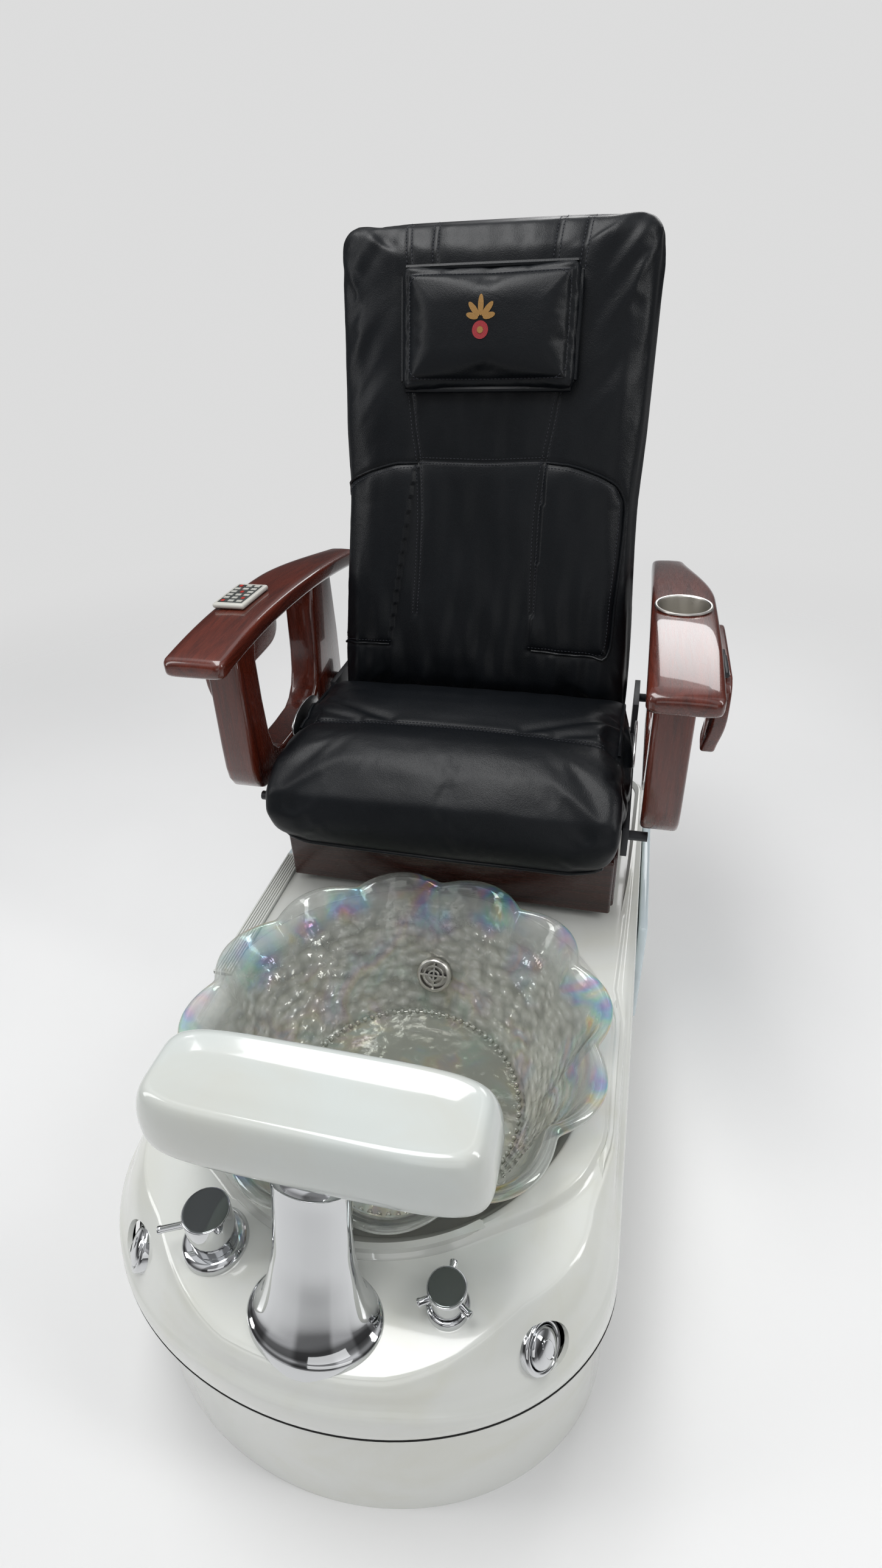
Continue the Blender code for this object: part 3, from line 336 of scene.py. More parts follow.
METALS = {
    "chrome": ("polished chrome", [0.66, 0.67, 0.68], 0.025),
    "horn_chrome": ("stem chrome", [0.66, 0.67, 0.68], 0.025),
    # Painted reflection: chrome darkened to stand in for the dark surroundings mirrored in the tap cap tops.
    "chrome_painted_dark_reflection": ("chrome cap", [0.20, 0.215, 0.215], 0.03),
    "satin": ("satin plate", [0.60, 0.60, 0.60], 0.22, 0.1),
    "cup_steel": ("brushed stainless", [0.70, 0.68, 0.64], 0.20, 0.16),
    "zinc": ("zinc plate", [0.56, 0.57, 0.59], 0.28, 0.15),
    "steel": ("black powder coat", [0.035, 0.036, 0.04], 0.42, 0.05, 0.4),
    "brass": ("cast brass", [0.72, 0.54, 0.26], 0.32, 0.05),
}
MOULDINGS = {
    "black_plastic": ("black moulding", [0.018, 0.018, 0.020]),
    "grey_plastic": ("grey moulding", [0.42, 0.43, 0.42]),
    "silver_plastic": ("silver moulding", [0.62, 0.61, 0.56], 0.28, 0.1),
    "keypad_face": ("keypad face", [0.055, 0.060, 0.058], 0.30, 0.1),
    "key": ("pale key", [0.50, 0.50, 0.46], 0.4, 0.2),
    "red_key": ("red key", [0.45, 0.03, 0.02], 0.4, 0.2),
    "hose": ("grey hose", [0.30, 0.31, 0.33], 0.5),
    "black_thread": ("black thread", [0.02, 0.022, 0.03], 0.6, 0.4),
    "dark_gap": ("shadow gap", [0.004, 0.004, 0.004], 0.9),
}
FINISHES = {}


def finish(name):
    """One of the chair's finishes, made at its first use."""
    if name not in FINISHES:
        FINISHES[name] = made_finish(name, bpy.context.scene.spa_chair_colours)
    return FINISHES[name]


def made_finish(name, look):
    if name in METALS:
        return metal_finish(*METALS[name])
    if name in MOULDINGS:
        return moulded_finish(*MOULDINGS[name])
    stain = (list(look.wood_light), list(look.wood_dark))
    makers = {
        "leather": (leather_finish, list(look.leather)),
        "mahogany": (lacquer_finish, "mahogany lacquer", *stain),
        "mahogany_upright": (lacquer_finish, "mahogany lacquer upright", *stain, "Z"),
        "apron": (lacquer_finish, "dark apron lacquer", (0.046, 0.009, 0.005), (0.016, 0.004, 0.003), "X", 0.25),
        "gelcoat": (gelcoat_finish, "pearl gelcoat", list(look.gelcoat), list(look.gelcoat_swirl)),
        "pad": (gelcoat_finish, "footrest gelcoat", (0.66, 0.70, 0.675), (0.64, 0.645, 0.59)),
        # Painted reflection: pearl gelcoat tinted pale blue stands in for window light mirrored in the side
        # covers.
        "panel": (gelcoat_finish, "side cover gelcoat", (0.70, 0.80, 0.84), (0.64, 0.74, 0.78)),
        "glass": (hammered_glass_finish,),
        "ply": (ply_finish,),
        "gold_thread": (thread_finish, "gold thread", (0.42, 0.22, 0.05)),
        "red_thread": (thread_finish, "red thread", (0.42, 0.02, 0.03)),
    }
    maker, *values = makers[name]
    return maker(*values)


# ---------------------------------------------------------------- meshes


SAME_SPOT = 1e-6


def mesh_of(bm, name):
    """A new mesh that takes up a bmesh, which is freed."""
    mesh = bpy.data.meshes.new(name)
    bm.to_mesh(mesh)
    bm.free()
    return mesh


def placed(name, data):
    """A new object at the origin, linked to the scene."""
    piece = bpy.data.objects.new(name, data)
    bpy.context.scene.collection.objects.link(piece)
    return piece


def merged(bm):
    """The bmesh with points that share a spot joined."""
    bmesh.ops.remove_doubles(bm, verts=bm.verts[:], dist=SAME_SPOT)
    return bm


def rounded(bm, edges, radius, segments, **settings):
    """The bmesh with some edges rounded."""
    bmesh.ops.bevel(
        bm, geom=edges, offset=radius, segments=segments, affect="EDGES", profile=0.5, material=-1, **settings
    )
    return bm


def settle(bm, name, look, body, nodes=(), sharp=40):
    """Makes a bmesh a finished piece that rides on a body and may stand for CAD nodes."""
    merged(bm)
    bmesh.ops.recalc_face_normals(bm, faces=bm.faces[:])
    return settle_mesh(mesh_of(bm, name), name, look, body, nodes, sharp)


def settle_mesh(mesh, name, look, body, nodes=(), sharp=40):
    """Makes a mesh a finished piece, smooth up to the sharp angle in degrees."""
    mesh.name = name
    mesh.materials.clear()
    mesh.materials.append(finish(look))
    mesh.shade_smooth()
    if sharp:
        mesh.set_sharp_from_angle(angle=radians(sharp))
    piece = placed(name, mesh)
    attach(piece, body)
    if nodes:
        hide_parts(*nodes)
    return piece


def evaluated_mesh(piece):
    """The piece's mesh with its modifiers applied."""
    graph = bpy.context.evaluated_depsgraph_get()
    return bpy.data.meshes.new_from_object(piece.evaluated_get(graph))


def wrapped(place, around, along):
    """A skin whose points come from place(u, v): u closes round, and an end that meets in a point closes."""
    bm = bmesh.new()
    bmesh.ops.create_grid(bm, x_segments=around, y_segments=along, size=0.5)
    for vert in bm.verts:
        u = round((vert.co.x + 0.5) * around) % around
        v = round((vert.co.y + 0.5) * along)
        vert.co = place(u, v)
    return merged(bm)


def smooth_path(points, steps, closed=False):
    """Points on a Catmull-Rom curve through the given ones."""
    if closed:
        padded = [points[-1], *points, points[0], points[1]]
    else:
        padded = [points[0] * 2 - points[1], *points, points[-1] * 2 - points[-2]]
    path = []
    for a, b, c, d in zip(padded, padded[1:], padded[2:], padded[3:]):
        for step in range(steps):
            t = step / steps
            bend = b * 2 + (c - a) * t + (a * 2 - b * 5 + c * 4 - d) * t**2 + (b * 3 - a - c * 3 + d) * t**3
            path.append(bend / 2)
    return path if closed else [*path, points[-1]]


def turned(profile, sides=64, looped=False):
    """A lathe piece about Z from (radius, height) points."""
    bm = bmesh.new()
    verts = [bm.verts.new((radius, 0, height)) for radius, height in profile]
    edges = [bm.edges.new(pair) for pair in zip(verts, verts[1:])]
    if looped:
        edges.append(bm.edges.new((verts[-1], verts[0])))
    bmesh.ops.spin(
        bm, geom=verts + edges, cent=(0, 0, 0), axis=(0, 0, 1), angle=2 * pi, steps=sides, use_merge=True
    )
    return merged(bm)


def box(low, high, radius, segments=2):
    """A block between two corners with rounded edges."""
    bm = bmesh.new()
    bmesh.ops.create_cube(bm, size=1)
    low, high = Vector(low), Vector(high)
    bmesh.ops.scale(bm, verts=bm.verts[:], vec=high - low)
    bmesh.ops.translate(bm, verts=bm.verts[:], vec=(low + high) / 2)
    return rounded(bm, bm.edges[:], radius, segments)


def slab(outline, low, high, radius, segments=3):
    """A (y, z) outline given a thickness across the chair, with its rims rounded."""
    bm = bmesh.new()
    face = bm.faces.new([bm.verts.new((low, y, z)) for y, z in outline])
    grown = bmesh.ops.extrude_face_region(bm, geom=[face])
    moved = [part for part in grown["geom"] if isinstance(part, bmesh.types.BMVert)]
    bmesh.ops.translate(bm, verts=moved, vec=(high - low, 0, 0))
    bmesh.ops.recalc_face_normals(bm, faces=bm.faces[:])
    rims = [edge for edge in bm.edges if abs(edge.verts[0].co.x - edge.verts[1].co.x) < SAME_SPOT]
    return rounded(bm, rims, radius, segments)


def merged_copy(node):
    """A CAD node's own shape with its loose triangles joined and its flat faces made whole."""
    bm = bmesh.new()
    bm.from_mesh(frame["nodes"][node].data)
    merged(bm)
    bmesh.ops.dissolve_limit(bm, angle_limit=radians(0.5), verts=bm.verts[:], edges=bm.edges[:])
    return bm


def eased(node, look, radius, segments=2, corner=30, sharp=35):
    """A CAD node with its hard corners eased, in its finish."""
    bm = merged_copy(node)
    edges = [edge for edge in bm.edges if edge.calc_face_angle(0) > radians(corner)]
    rounded(bm, edges, radius, segments, clamp_overlap=True)
    body = frame["nodes"][node]["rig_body"]
    return settle(bm, f"{node}_finished", look, body, [node], sharp=sharp)


def bead(name, points, radius, look, body, closed=False, sides=8):
    """A round cord, such as piping, along points."""
    count = len(points)
    tangents = []
    for index in range(count):
        before = points[(index - 1) % count] if closed or index else points[0]
        after = points[(index + 1) % count] if closed or index < count - 1 else points[-1]
        tangents.append((after - before).normalized())
    up = tangents[0].orthogonal().normalized()
    frames = []
    for tangent in tangents:
        up = (up - tangent * up.dot(tangent)).normalized()
        frames.append((up.copy(), tangent.cross(up)))

    def place(u, v):
        side, other = frames[v % count]
        angle = 2 * pi * u / sides
        return points[v % count] + (side * cos(angle) + other * sin(angle)) * radius

    if closed:
        return settle(wrapped(place, sides, count), name, look, body)

    def capped(u, v):
        if v == 0:
            return points[0]
        if v == count + 1:
            return points[-1]
        return place(u, v - 1)

    return settle(wrapped(capped, sides, count + 1), name, look, body)


def stitches(name, rows, look, body, length=0.0040, pitch=0.0062, radius=0.0005):
    """Short threads along rows of (point, normal) pairs."""
    bm = bmesh.new()
    for row in rows:
        travelled = 0.0
        due = pitch / 2
        for (a, normal), (b, _) in zip(row, row[1:]):
            step = (b - a).length
            while due <= travelled + step and step > 0:
                spot = a.lerp(b, (due - travelled) / step)
                way = (b - a).normalized()
                side = way.cross(normal).normalized()
                lay = Matrix((way, side, way.cross(side))).transposed().to_4x4()
                size = Matrix.Diagonal((length, radius * 2, radius * 2, 1))
                bmesh.ops.create_cube(bm, size=1, matrix=Matrix.Translation(spot) @ lay @ size)
                due += pitch
            travelled += step
    return settle(bm, name, look, body, sharp=0)


# ---------------------------------------------------------------- soft goods


def soften_node(node, name, voxel, smoothing, pinned, pressure, cap):
    """A CAD cushion remeshed, rounded and inflated as cloth over its held faces."""
    piece = placed(name, mesh_of(merged_copy(node), name))
    remesh = piece.modifiers.new("even", "REMESH")
    remesh.mode = "VOXEL"
    remesh.voxel_size = voxel
    even = evaluated_mesh(piece)
    piece.modifiers.clear()
    bm = bmesh.new()
    bm.from_mesh(even)
    for _ in range(smoothing):
        bmesh.ops.smooth_vert(
            bm, verts=bm.verts[:], factor=0.5, use_axis_x=True, use_axis_y=True, use_axis_z=True
        )
    bm.to_mesh(even)
    bm.free()
    piece.data = even
    inflate(piece, pinned, pressure, cap)
    subdivide = piece.modifiers.new("finer", "SUBSURF")
    subdivide.levels = 1
    subdivide.render_levels = 1
    final = evaluated_mesh(piece)
    piece.modifiers.clear()
    bpy.data.objects.remove(piece)
    return final


def fit_box(mesh, low, high, matrix=None):
    """Stretches a mesh so that its box, seen in a matrix's own axes, is the given one."""
    matrix = matrix or Matrix.Identity(4)
    points = local_points(points_of(mesh), matrix)
    start, end = points.min(axis=0), points.max(axis=0)
    points = np.array(low) + (points - start) / (end - start) * (np.array(high) - np.array(low))
    write_points(mesh, world_points(points, matrix))


def inflate(piece, pinned, pressure, cap):
    """Runs cloth with inner pressure, then holds each point within cap of where it began."""
    start = points_of(piece.data)
    group = piece.vertex_groups.new(name="held")
    held = [index for index, point in enumerate(start) if pinned(Vector(point))]
    group.add(held, 1.0, "REPLACE")
    cloth = piece.modifiers.new("cloth", "CLOTH")
    cloth.settings.use_pressure = True
    cloth.settings.uniform_pressure_force = pressure
    cloth.settings.quality = 4
    cloth.settings.mass = 0.35
    cloth.settings.tension_stiffness = 20
    cloth.settings.compression_stiffness = 20
    cloth.settings.shear_stiffness = 10
    cloth.settings.bending_stiffness = 1.5
    cloth.settings.vertex_group_mass = "held"
    cloth.settings.effector_weights.gravity = 0
    cloth.collision_settings.use_collision = False
    cloth.point_cache.frame_start = 1
    cloth.point_cache.frame_end = SIMULATION_FRAMES
    scene = bpy.context.scene
    for number in range(1, SIMULATION_FRAMES + 1):
        scene.frame_set(number)
    moved = points_of(evaluated_mesh(piece))
    piece.modifiers.clear()
    scene.frame_set(1)
    step = moved - start
    length = np.linalg.norm(step, axis=1, keepdims=True)
    reach = np.tanh(length / cap) * cap / np.maximum(length, 1e-9)
    write_points(piece.data, start + step * reach)


def points_of(mesh):
    """The mesh's points as an (n, 3) array."""
    values = np.zeros(len(mesh.vertices) * 3)
    mesh.vertices.foreach_get("co", values)
    return values.reshape(-1, 3)


def normals_of(mesh):
    """The normals of the mesh's points as an (n, 3) array."""
    values = np.zeros(len(mesh.vertices) * 3)
    mesh.vertices.foreach_get("normal", values)
    return values.reshape(-1, 3)


def write_points(mesh, values):
    """Moves the mesh's points to an (n, 3) array."""
    mesh.vertices.foreach_set("co", values.ravel())
    mesh.update()


def ramp(value, low, high):
    """0 at low, 1 at high, eased at both ends, for numbers or arrays."""
    t = np.clip((value - low) / (high - low), 0, 1)
    return t * t * (3 - 2 * t)


def line_distance(spots, line):
    """Distance of (n, 2) spots from a 2-D line of points."""
    best = np.full(len(spots), 9.0)
    for a, b in zip(line, line[1:]):
        a, b = np.array(a), np.array(b)
        along = b - a
        t = np.clip(((spots - a) @ along) / max(along @ along, 1e-12), 0, 1)
        best = np.minimum(best, np.linalg.norm(spots - (a + t[:, None] * along), axis=1))
    return best


def inside(spots, loop):
    """Whether (n, 2) spots lie inside a closed 2-D loop."""
    found = np.zeros(len(spots), bool)
    for (ax, ay), (bx, by) in zip(loop, [*loop[1:], loop[0]]):
        crosses = (ay > spots[:, 1]) != (by > spots[:, 1])
        x = ax + (spots[:, 1] - ay) / ((by - ay) or 1e-12) * (bx - ax)
        found ^= crosses & (spots[:, 0] < x)
    return found


def waves(points, scale, seed=0.0):
    """Smooth noise from -1 to 1 at (n, 3) points."""
    shift = Vector((seed, seed * 1.7, seed * 2.3))
    return np.array([noise.noise(Vector(point) * scale + shift) for point in points])


def back_matrix():
    """From the backrest's own axes, with Z up its face, to the chair's."""
    lean = bpy.context.scene.spa_chair_sizes.back_lean
    return Matrix.Translation(RECLINE_AXIS) @ Matrix.Rotation(-lean, 4, "X")


def local_points(points, matrix):
    """World points seen in a matrix's own axes."""
    turn = np.array(matrix.inverted())
    return points @ turn[:3, :3].T + turn[:3, 3]


def world_points(points, matrix):
    """Points in a matrix's own axes, seen in the world."""
    turn = np.array(matrix)
    return points @ turn[:3, :3].T + turn[:3, 3]


def draped_path(tree, spots, start, way, lift, matrix=None, spacing=0.004):
    """Spots on a surface, found by casting along way from start heights, with their normals."""
    dense = []
    for a, b in zip(spots, spots[1:]):
        count = max(1, int((b - a).length / spacing))
        dense += [a.lerp(b, step / count) for step in range(count)]
    dense.append(spots[-1])
    found = []
    for spot in dense:
        origin = spot + start
        direction = Vector(way)
        if matrix:
            origin = matrix @ origin
            direction = matrix.to_3x3() @ direction
        hit, normal, _, _ = tree.ray_cast(origin, direction)
        if hit is not None:
            found.append((hit + normal * lift, normal))
    return found


def tree_of(mesh):
    """A search tree of the mesh's faces, for casting onto it."""
    bm = bmesh.new()
    bm.from_mesh(mesh)
    tree = BVHTree.FromBMesh(bm)
    bm.free()
    return tree


# ---------------------------------------------------------------- settings


class SpaChairSizes(bpy.types.PropertyGroup):
    """Sizes that a user would change."""

    back_lean: FloatProperty(
        name="Backrest lean", description="Lean of the backrest at rest", default=radians(13.8), unit="ROTATION"
    )
    deck_width: FloatProperty(
        name="Deck half width", description="Half the width of the tub", default=0.336, unit="LENGTH"
    )
    bowl_lobes: IntProperty(name="Bowl lobes", description="Scallops round the bowl's rim", default=12)
    lobe_depth: FloatProperty(
        name="Scallop depth", description="How far the rim dips between scallops", default=0.027, unit="LENGTH"
    )
    dimple_depth: FloatProperty(
        name="Dimple depth", description="Depth of the hammered dimples", default=0.0012, unit="LENGTH"
    )
    piping_radius: FloatProperty(
        name="Piping radius", description="Radius of the upholstery piping", default=0.0032, unit="LENGTH"
    )


class SpaChairColours(bpy.types.PropertyGroup):
    """Colours that a user would change."""

    leather: FloatVectorProperty(
        name="Leather", description="Upholstery", default=(0.0035, 0.0046, 0.0062), subtype="COLOR", size=3
    )
    wood_light: FloatVectorProperty(
        name="Wood, light", description="Light grain", default=(0.135, 0.021, 0.009), subtype="COLOR", size=3
    )
    wood_dark: FloatVectorProperty(
        name="Wood, dark", description="Dark grain", default=(0.052, 0.008, 0.004), subtype="COLOR", size=3
    )
    gelcoat: FloatVectorProperty(
        name="Gelcoat", description="Pearl white of the base", default=(0.76, 0.775, 0.735),
        subtype="COLOR", size=3,
    )
    gelcoat_swirl: FloatVectorProperty(
        name="Gelcoat swirl", description="Cream cloud in the gelcoat", default=(0.70, 0.70, 0.60),
        subtype="COLOR", size=3,
    )


# ---------------------------------------------------------------- base


BOWL_Y = -0.268
TUB_FRONT, TUB_REAR = -0.700, 0.520
SKIRT_TOP = 0.246


def base_outline(half_width, front, nose_depth, rear, corner):
    """Plan of the base: an elliptical nose, straight sides and rounded rear corners, anticlockwise."""
    nose_y = front + nose_depth
    points = []
    for step in range(73):
        angle = pi + pi * step / 72
        points.append(Vector((half_width * cos(angle), nose_y + nose_depth * sin(angle), 0)))
    side = [nose_y + (rear - corner - nose_y) * step / 40 for step in range(1, 40)]
    points += [Vector((half_width, y, 0)) for y in side]
    for start in (0, 90):
        sign = 1 if start == 0 else -1
        for step in range(9):
            angle = radians(start + 90 * step / 8)
            x = sign * (half_width - corner) + corner * cos(angle)
            points.append(Vector((x, rear - corner + corner * sin(angle), 0)))
        if start == 0:
            points += [Vector((half_width * (1 - step / 6) * 0.8, rear, 0)) for step in range(0, 12)]
    points += [Vector((-half_width, y, 0)) for y in reversed(side)]
    return points


def deck_z(y):
    """Height of the deck's flat, which falls towards the nose."""
    return 0.375 - 0.055 * max(0, (-0.10 - y) / 0.58) ** 1.5


def edge_z(y):
    """Height of the deck's outer edge."""
    return 0.365 - 0.120 * max(0, (-0.15 - y) / 0.55) ** 1.2


def deck_columns(half_width):
    """For each point of the outline, the tub's profile from the bottom of its lip to the drain."""
    centre = Vector((0, BOWL_Y, 0))
    columns = []
    for point in base_outline(half_width, TUB_FRONT, 0.2286, TUB_REAR, 0.05):
        reach = (point - centre).length
        way = (point - centre) / reach
        facing = -way.y
        corner = max(0, 1 - abs(abs(way.x) - 0.62) / 0.38) if facing > 0 else 0
        foot = min(0.290 + 0.030 * (1 - float(ramp(facing, 0.45, 0.85))), reach - 0.030)
        nose = float(ramp(facing, 0.80, 0.97))
        slope_in = min(0.034 + 0.022 * corner - 0.012 * nose, (reach - foot) * 0.6)

        def at(distance, z=None, lift=0.0):
            spot = centre + way * distance
            spot.z = z if z is not None else deck_z(spot.y) + lift
            return spot

        rim_z = deck_z(centre.y + way.y * 0.28) + 0.008
        edge = edge_z(point.y) + 0.045 * (1 - corner) * float(ramp(facing, 0.60, 0.95))
        columns.append(
            [
                at(reach - 0.001, 0.2385),
                at(reach, 0.241),
                at(reach, 0.250),
                at(reach - 0.0015, (0.250 + edge - 0.010) / 2),
                at(reach - 0.004, edge - 0.010),
                at(reach - 0.012, edge),
                at((reach * 2 - 0.012 - slope_in) / 2, lift=(edge - deck_z(point.y)) * 0.42),
                at(reach - slope_in, lift=-0.0035),
                at(reach - slope_in - 0.004, lift=-0.0008),
                at(reach - slope_in - 0.010),
                at((reach - slope_in - 0.010 + foot + 0.008) / 2),
                at(foot + 0.008),
                at(foot + 0.003, lift=0.0015),
                at(foot - 0.003, rim_z - 0.002),
                at(foot - 0.008, rim_z),
                at(0.283, rim_z),
                at(0.277, rim_z - 0.002),
                at(0.273, rim_z - 0.010),
                at(0.253, 0.312),
                at(0.233, 0.238),
                at(0.222, 0.217),
                at(0.206, 0.2097),
                at(0.120, 0.2097),
                at(0.030, 0.2097),
            ]
        )
    return columns


MIXER = Vector((-0.146, -0.573, 0))
DIVERTER = Vector((0.146, -0.582, 0))


def button_place(sign):
    """The spot and turn of the air button on one side of the nose."""
    normal = Vector((0.80 * sign, -0.35, 0.49)).normalized()
    return Vector((0.251 * sign, -0.582, 0.290)), normal.to_track_quat("Z", "Y").to_matrix().to_4x4()


def fitting_cutters():
    """Round cutters for the fittings that are let into the deck."""
    bm = bmesh.new()
    upright = Vector((0, 0, 1)).to_track_quat("Z", "Y").to_matrix().to_4x4()
    holes = [(MIXER + Vector((0, 0, 0.33)), upright, 0.0385), (DIVERTER + Vector((0, 0, 0.33)), upright, 0.0240)]
    holes += [(*button_place(sign), 0.0288) for sign in (1, -1)]
    for spot, turn, radius in holes:
        bmesh.ops.create_cone(
            bm, cap_ends=True, segments=32, radius1=radius, radius2=radius, depth=0.08,
            matrix=Matrix.Translation(spot) @ turn,
        )
    return placed("fitting_cutters", mesh_of(bm, "fitting_cutters"))


class SPA_OT_base(bpy.types.Operator):
    """Tub deck, skirt, covers and grille"""

    bl_idname = "spa.base"
    bl_label = "Base"

    def execute(self, context):
        sizes = context.scene.spa_chair_sizes
        columns = [smooth_path(column, 3) for column in deck_columns(sizes.deck_width)]
        rows = len(columns[0]) - 1
        bm = wrapped(lambda u, v: columns[u][v], len(columns), rows)
        bmesh.ops.recalc_face_normals(bm, faces=bm.faces[:])
        bm.faces.ensure_lookup_table()
        rear = max(bm.faces, key=lambda face: face.calc_center_median().y - abs(face.normal.z))
        if rear.normal.y < 0:
            bmesh.ops.reverse_faces(bm, faces=bm.faces[:])
        draft = placed("deck_skin", mesh_of(bm, "deck_skin"))
        wall = draft.modifiers.new("wall", "SOLIDIFY")
        wall.thickness = 0.006
        wall.offset = -1
        cutter = fitting_cutters()
        holes = draft.modifiers.new("holes", "BOOLEAN")
        holes.object = cutter
        holes.operation = "DIFFERENCE"
        final = evaluated_mesh(draft)
        bpy.data.objects.remove(draft)
        bpy.data.objects.remove(cutter)
        settle_mesh(final, "tub_shell", "gelcoat", "base", ["tub_deck"], sharp=50)

        low = base_outline(0.331, -0.6975, 0.2445, 0.515, 0.05)
        nose_y = -0.453

        def skirt_spot(u, v):
            profile = [
                (0.0, 0.0), (0.0, 0.004), (0.0065, 0.115), (0.013, SKIRT_TOP), (0.019, SKIRT_TOP),
                (0.0125, 0.115), (0.006, 0.0), (0.0, 0.0),
            ]
            inward, z = profile[v]
            point = low[u]
            middle = Vector((0, min(max(point.y, nose_y), 0.40), 0))
            spot = point + (middle - point).normalized() * inward
            return Vector((spot.x, spot.y, z))

        settle(wrapped(skirt_spot, len(low), 7), "skirt_shell", "gelcoat", "base", ["base_skirt"])
        # Painted shadow: a near-black strip under the deck's lip stands in for the shade in the gap between the
        # lip and the skirt.
        seam = base_outline(sizes.deck_width + 0.0004, TUB_FRONT - 0.0004, 0.2286, TUB_REAR + 0.0004, 0.05)

        def lip_shadow_spot(u, v):
            inward, z = [(0, 0.2362), (0, 0.2392), (0.016, 0.2384), (0.016, 0.2362)][v % 4]
            middle = Vector((0, min(max(seam[u].y, nose_y), 0.40), 0))
            spot = seam[u] + (middle - seam[u]).normalized() * inward
            return Vector((spot.x, spot.y, z))

        settle(wrapped(lip_shadow_spot, len(seam), 4), "lip_painted_shadow", "dark_gap", "base")
        # The side covers' pale blue is a painted reflection of window light on white gelcoat.
        for side in ("left", "right"):
            eased(f"side_cover_{side}", "panel", 0.006, 3)
        eased("service_panel", "gelcoat", 0.002)
        self.grille()
        return {"FINISHED"}

    def grille(self):
        """Six long ribs over a shadowed slot, let into the deck."""
        low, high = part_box("vent_grille")
        front, rear = low.y - 0.16, high.y
        bm = box((low.x, front, low.z), (high.x, rear, low.z + 0.0028), 0.001, 2)
        settle(bm, "vent_tray", "grey_plastic", "base", ["vent_grille"])
        bm = bmesh.new()
        for number in range(7):
            x = low.x + 0.0022 + number * (high.x - low.x - 0.0044) / 6
            lift = Matrix.Translation((x, (front + rear) / 2, low.z + 0.0045))
            size = Matrix.Diagonal((0.0030, rear - front, 0.0064, 1))
            bmesh.ops.create_cube(bm, size=1, matrix=lift @ size)
        for y in (front + 0.002, rear - 0.002):
            lift = Matrix.Translation(((low.x + high.x) / 2, y, low.z + 0.0040))
            size = Matrix.Diagonal((high.x - low.x, 0.004, 0.0075, 1))
            bmesh.ops.create_cube(bm, size=1, matrix=lift @ size)
        rounded(bm, bm.edges[:], 0.0007, 2)
        settle(bm, "vent_ribs", "gelcoat", "base")


# ---------------------------------------------------------------- bowl


class SPA_OT_bowl(bpy.types.Operator):
    """Hammered glass bowl, its beads, drain and jet"""

    bl_idname = "spa.bowl"
    bl_label = "Bowl"

    def execute(self, context):
        sizes = context.scene.spa_chair_sizes
        around = 420
        outer = [(0.025, 0.210), (0.100, 0.210), (0.170, 0.210), (0.186, 0.2135), (0.197, 0.226)]
        outer += [(0.214, 0.262), (0.232, 0.300), (0.256, 0.350), (0.276, 0.386), (0.291, 0.408)]
        rim = [(0.3035, 0.420), (0.3085, 0.427), (0.3065, 0.4325), (0.300, 0.4345), (0.293, 0.431)]
        inner = [(0.287, 0.423), (0.276, 0.404), (0.262, 0.378), (0.242, 0.340), (0.222, 0.300)]
        inner += [(0.204, 0.262), (0.190, 0.234), (0.182, 0.2225), (0.172, 0.220), (0.100, 0.220)]
        inner += [(0.025, 0.220)]
        corners = [Vector((radius, z, 0)) for radius, z in outer + rim + inner]
        profile = smooth_path(corners, 5)
        rows = len(profile)

        def place(u, v):
            radius, z, _ = profile[v % rows]
            angle = 2 * pi * u / around
            swing = sin(sizes.bowl_lobes / 2 * angle)
            notch = 1 - (swing * swing + 0.010) ** 0.45
            depth = sizes.lobe_depth * max(0, (z - 0.270) / 0.163) ** 1.5
            reach = radius - depth * max(notch, 0)
            spot = Vector((reach * cos(angle), BOWL_Y + reach * sin(angle), z))
            wall = float(ramp(z, 0.222, 0.236)) * (1 - float(ramp(z, 0.398, 0.420)))
            if wall:
                cell = noise.voronoi(spot * 82)[0]
                dent = min(cell[1] - cell[0], 0.5) * 2
                side = 1 if v > rows * 0.55 else -1
                spot -= Vector((cos(angle), sin(angle), 0)) * side * sizes.dimple_depth * wall * (dent - 0.5)
            return spot

        settle(wrapped(place, around, rows), "scalloped_bowl", "glass", "base", ["glass_bowl"], sharp=0)

        beads = bmesh.new()
        for step in range(84):
            angle = 2 * pi * step / 84
            spot = Vector((0.1785 * cos(angle), BOWL_Y + 0.1785 * sin(angle), 0.2235))
            bmesh.ops.create_icosphere(beads, subdivisions=1, radius=0.0045, matrix=Matrix.Translation(spot))
        settle(beads, "bowl_beads", "glass", "base", sharp=0)

        for node in ("drain_tailpiece", "drain_stopper"):
            eased(node, "chrome", 0.0006, 2)
        eased("jet_cover", "cup_steel", 0.0006, 1, sharp=40)
        eased("jet_impeller", "black_plastic", 0.0003, 1)
        return {"FINISHED"}


# ---------------------------------------------------------------- footrest


HORN_FOOT = Vector((0, -0.620, 0.330))
HORN_NECK = Vector((0, -0.572, 0.505))


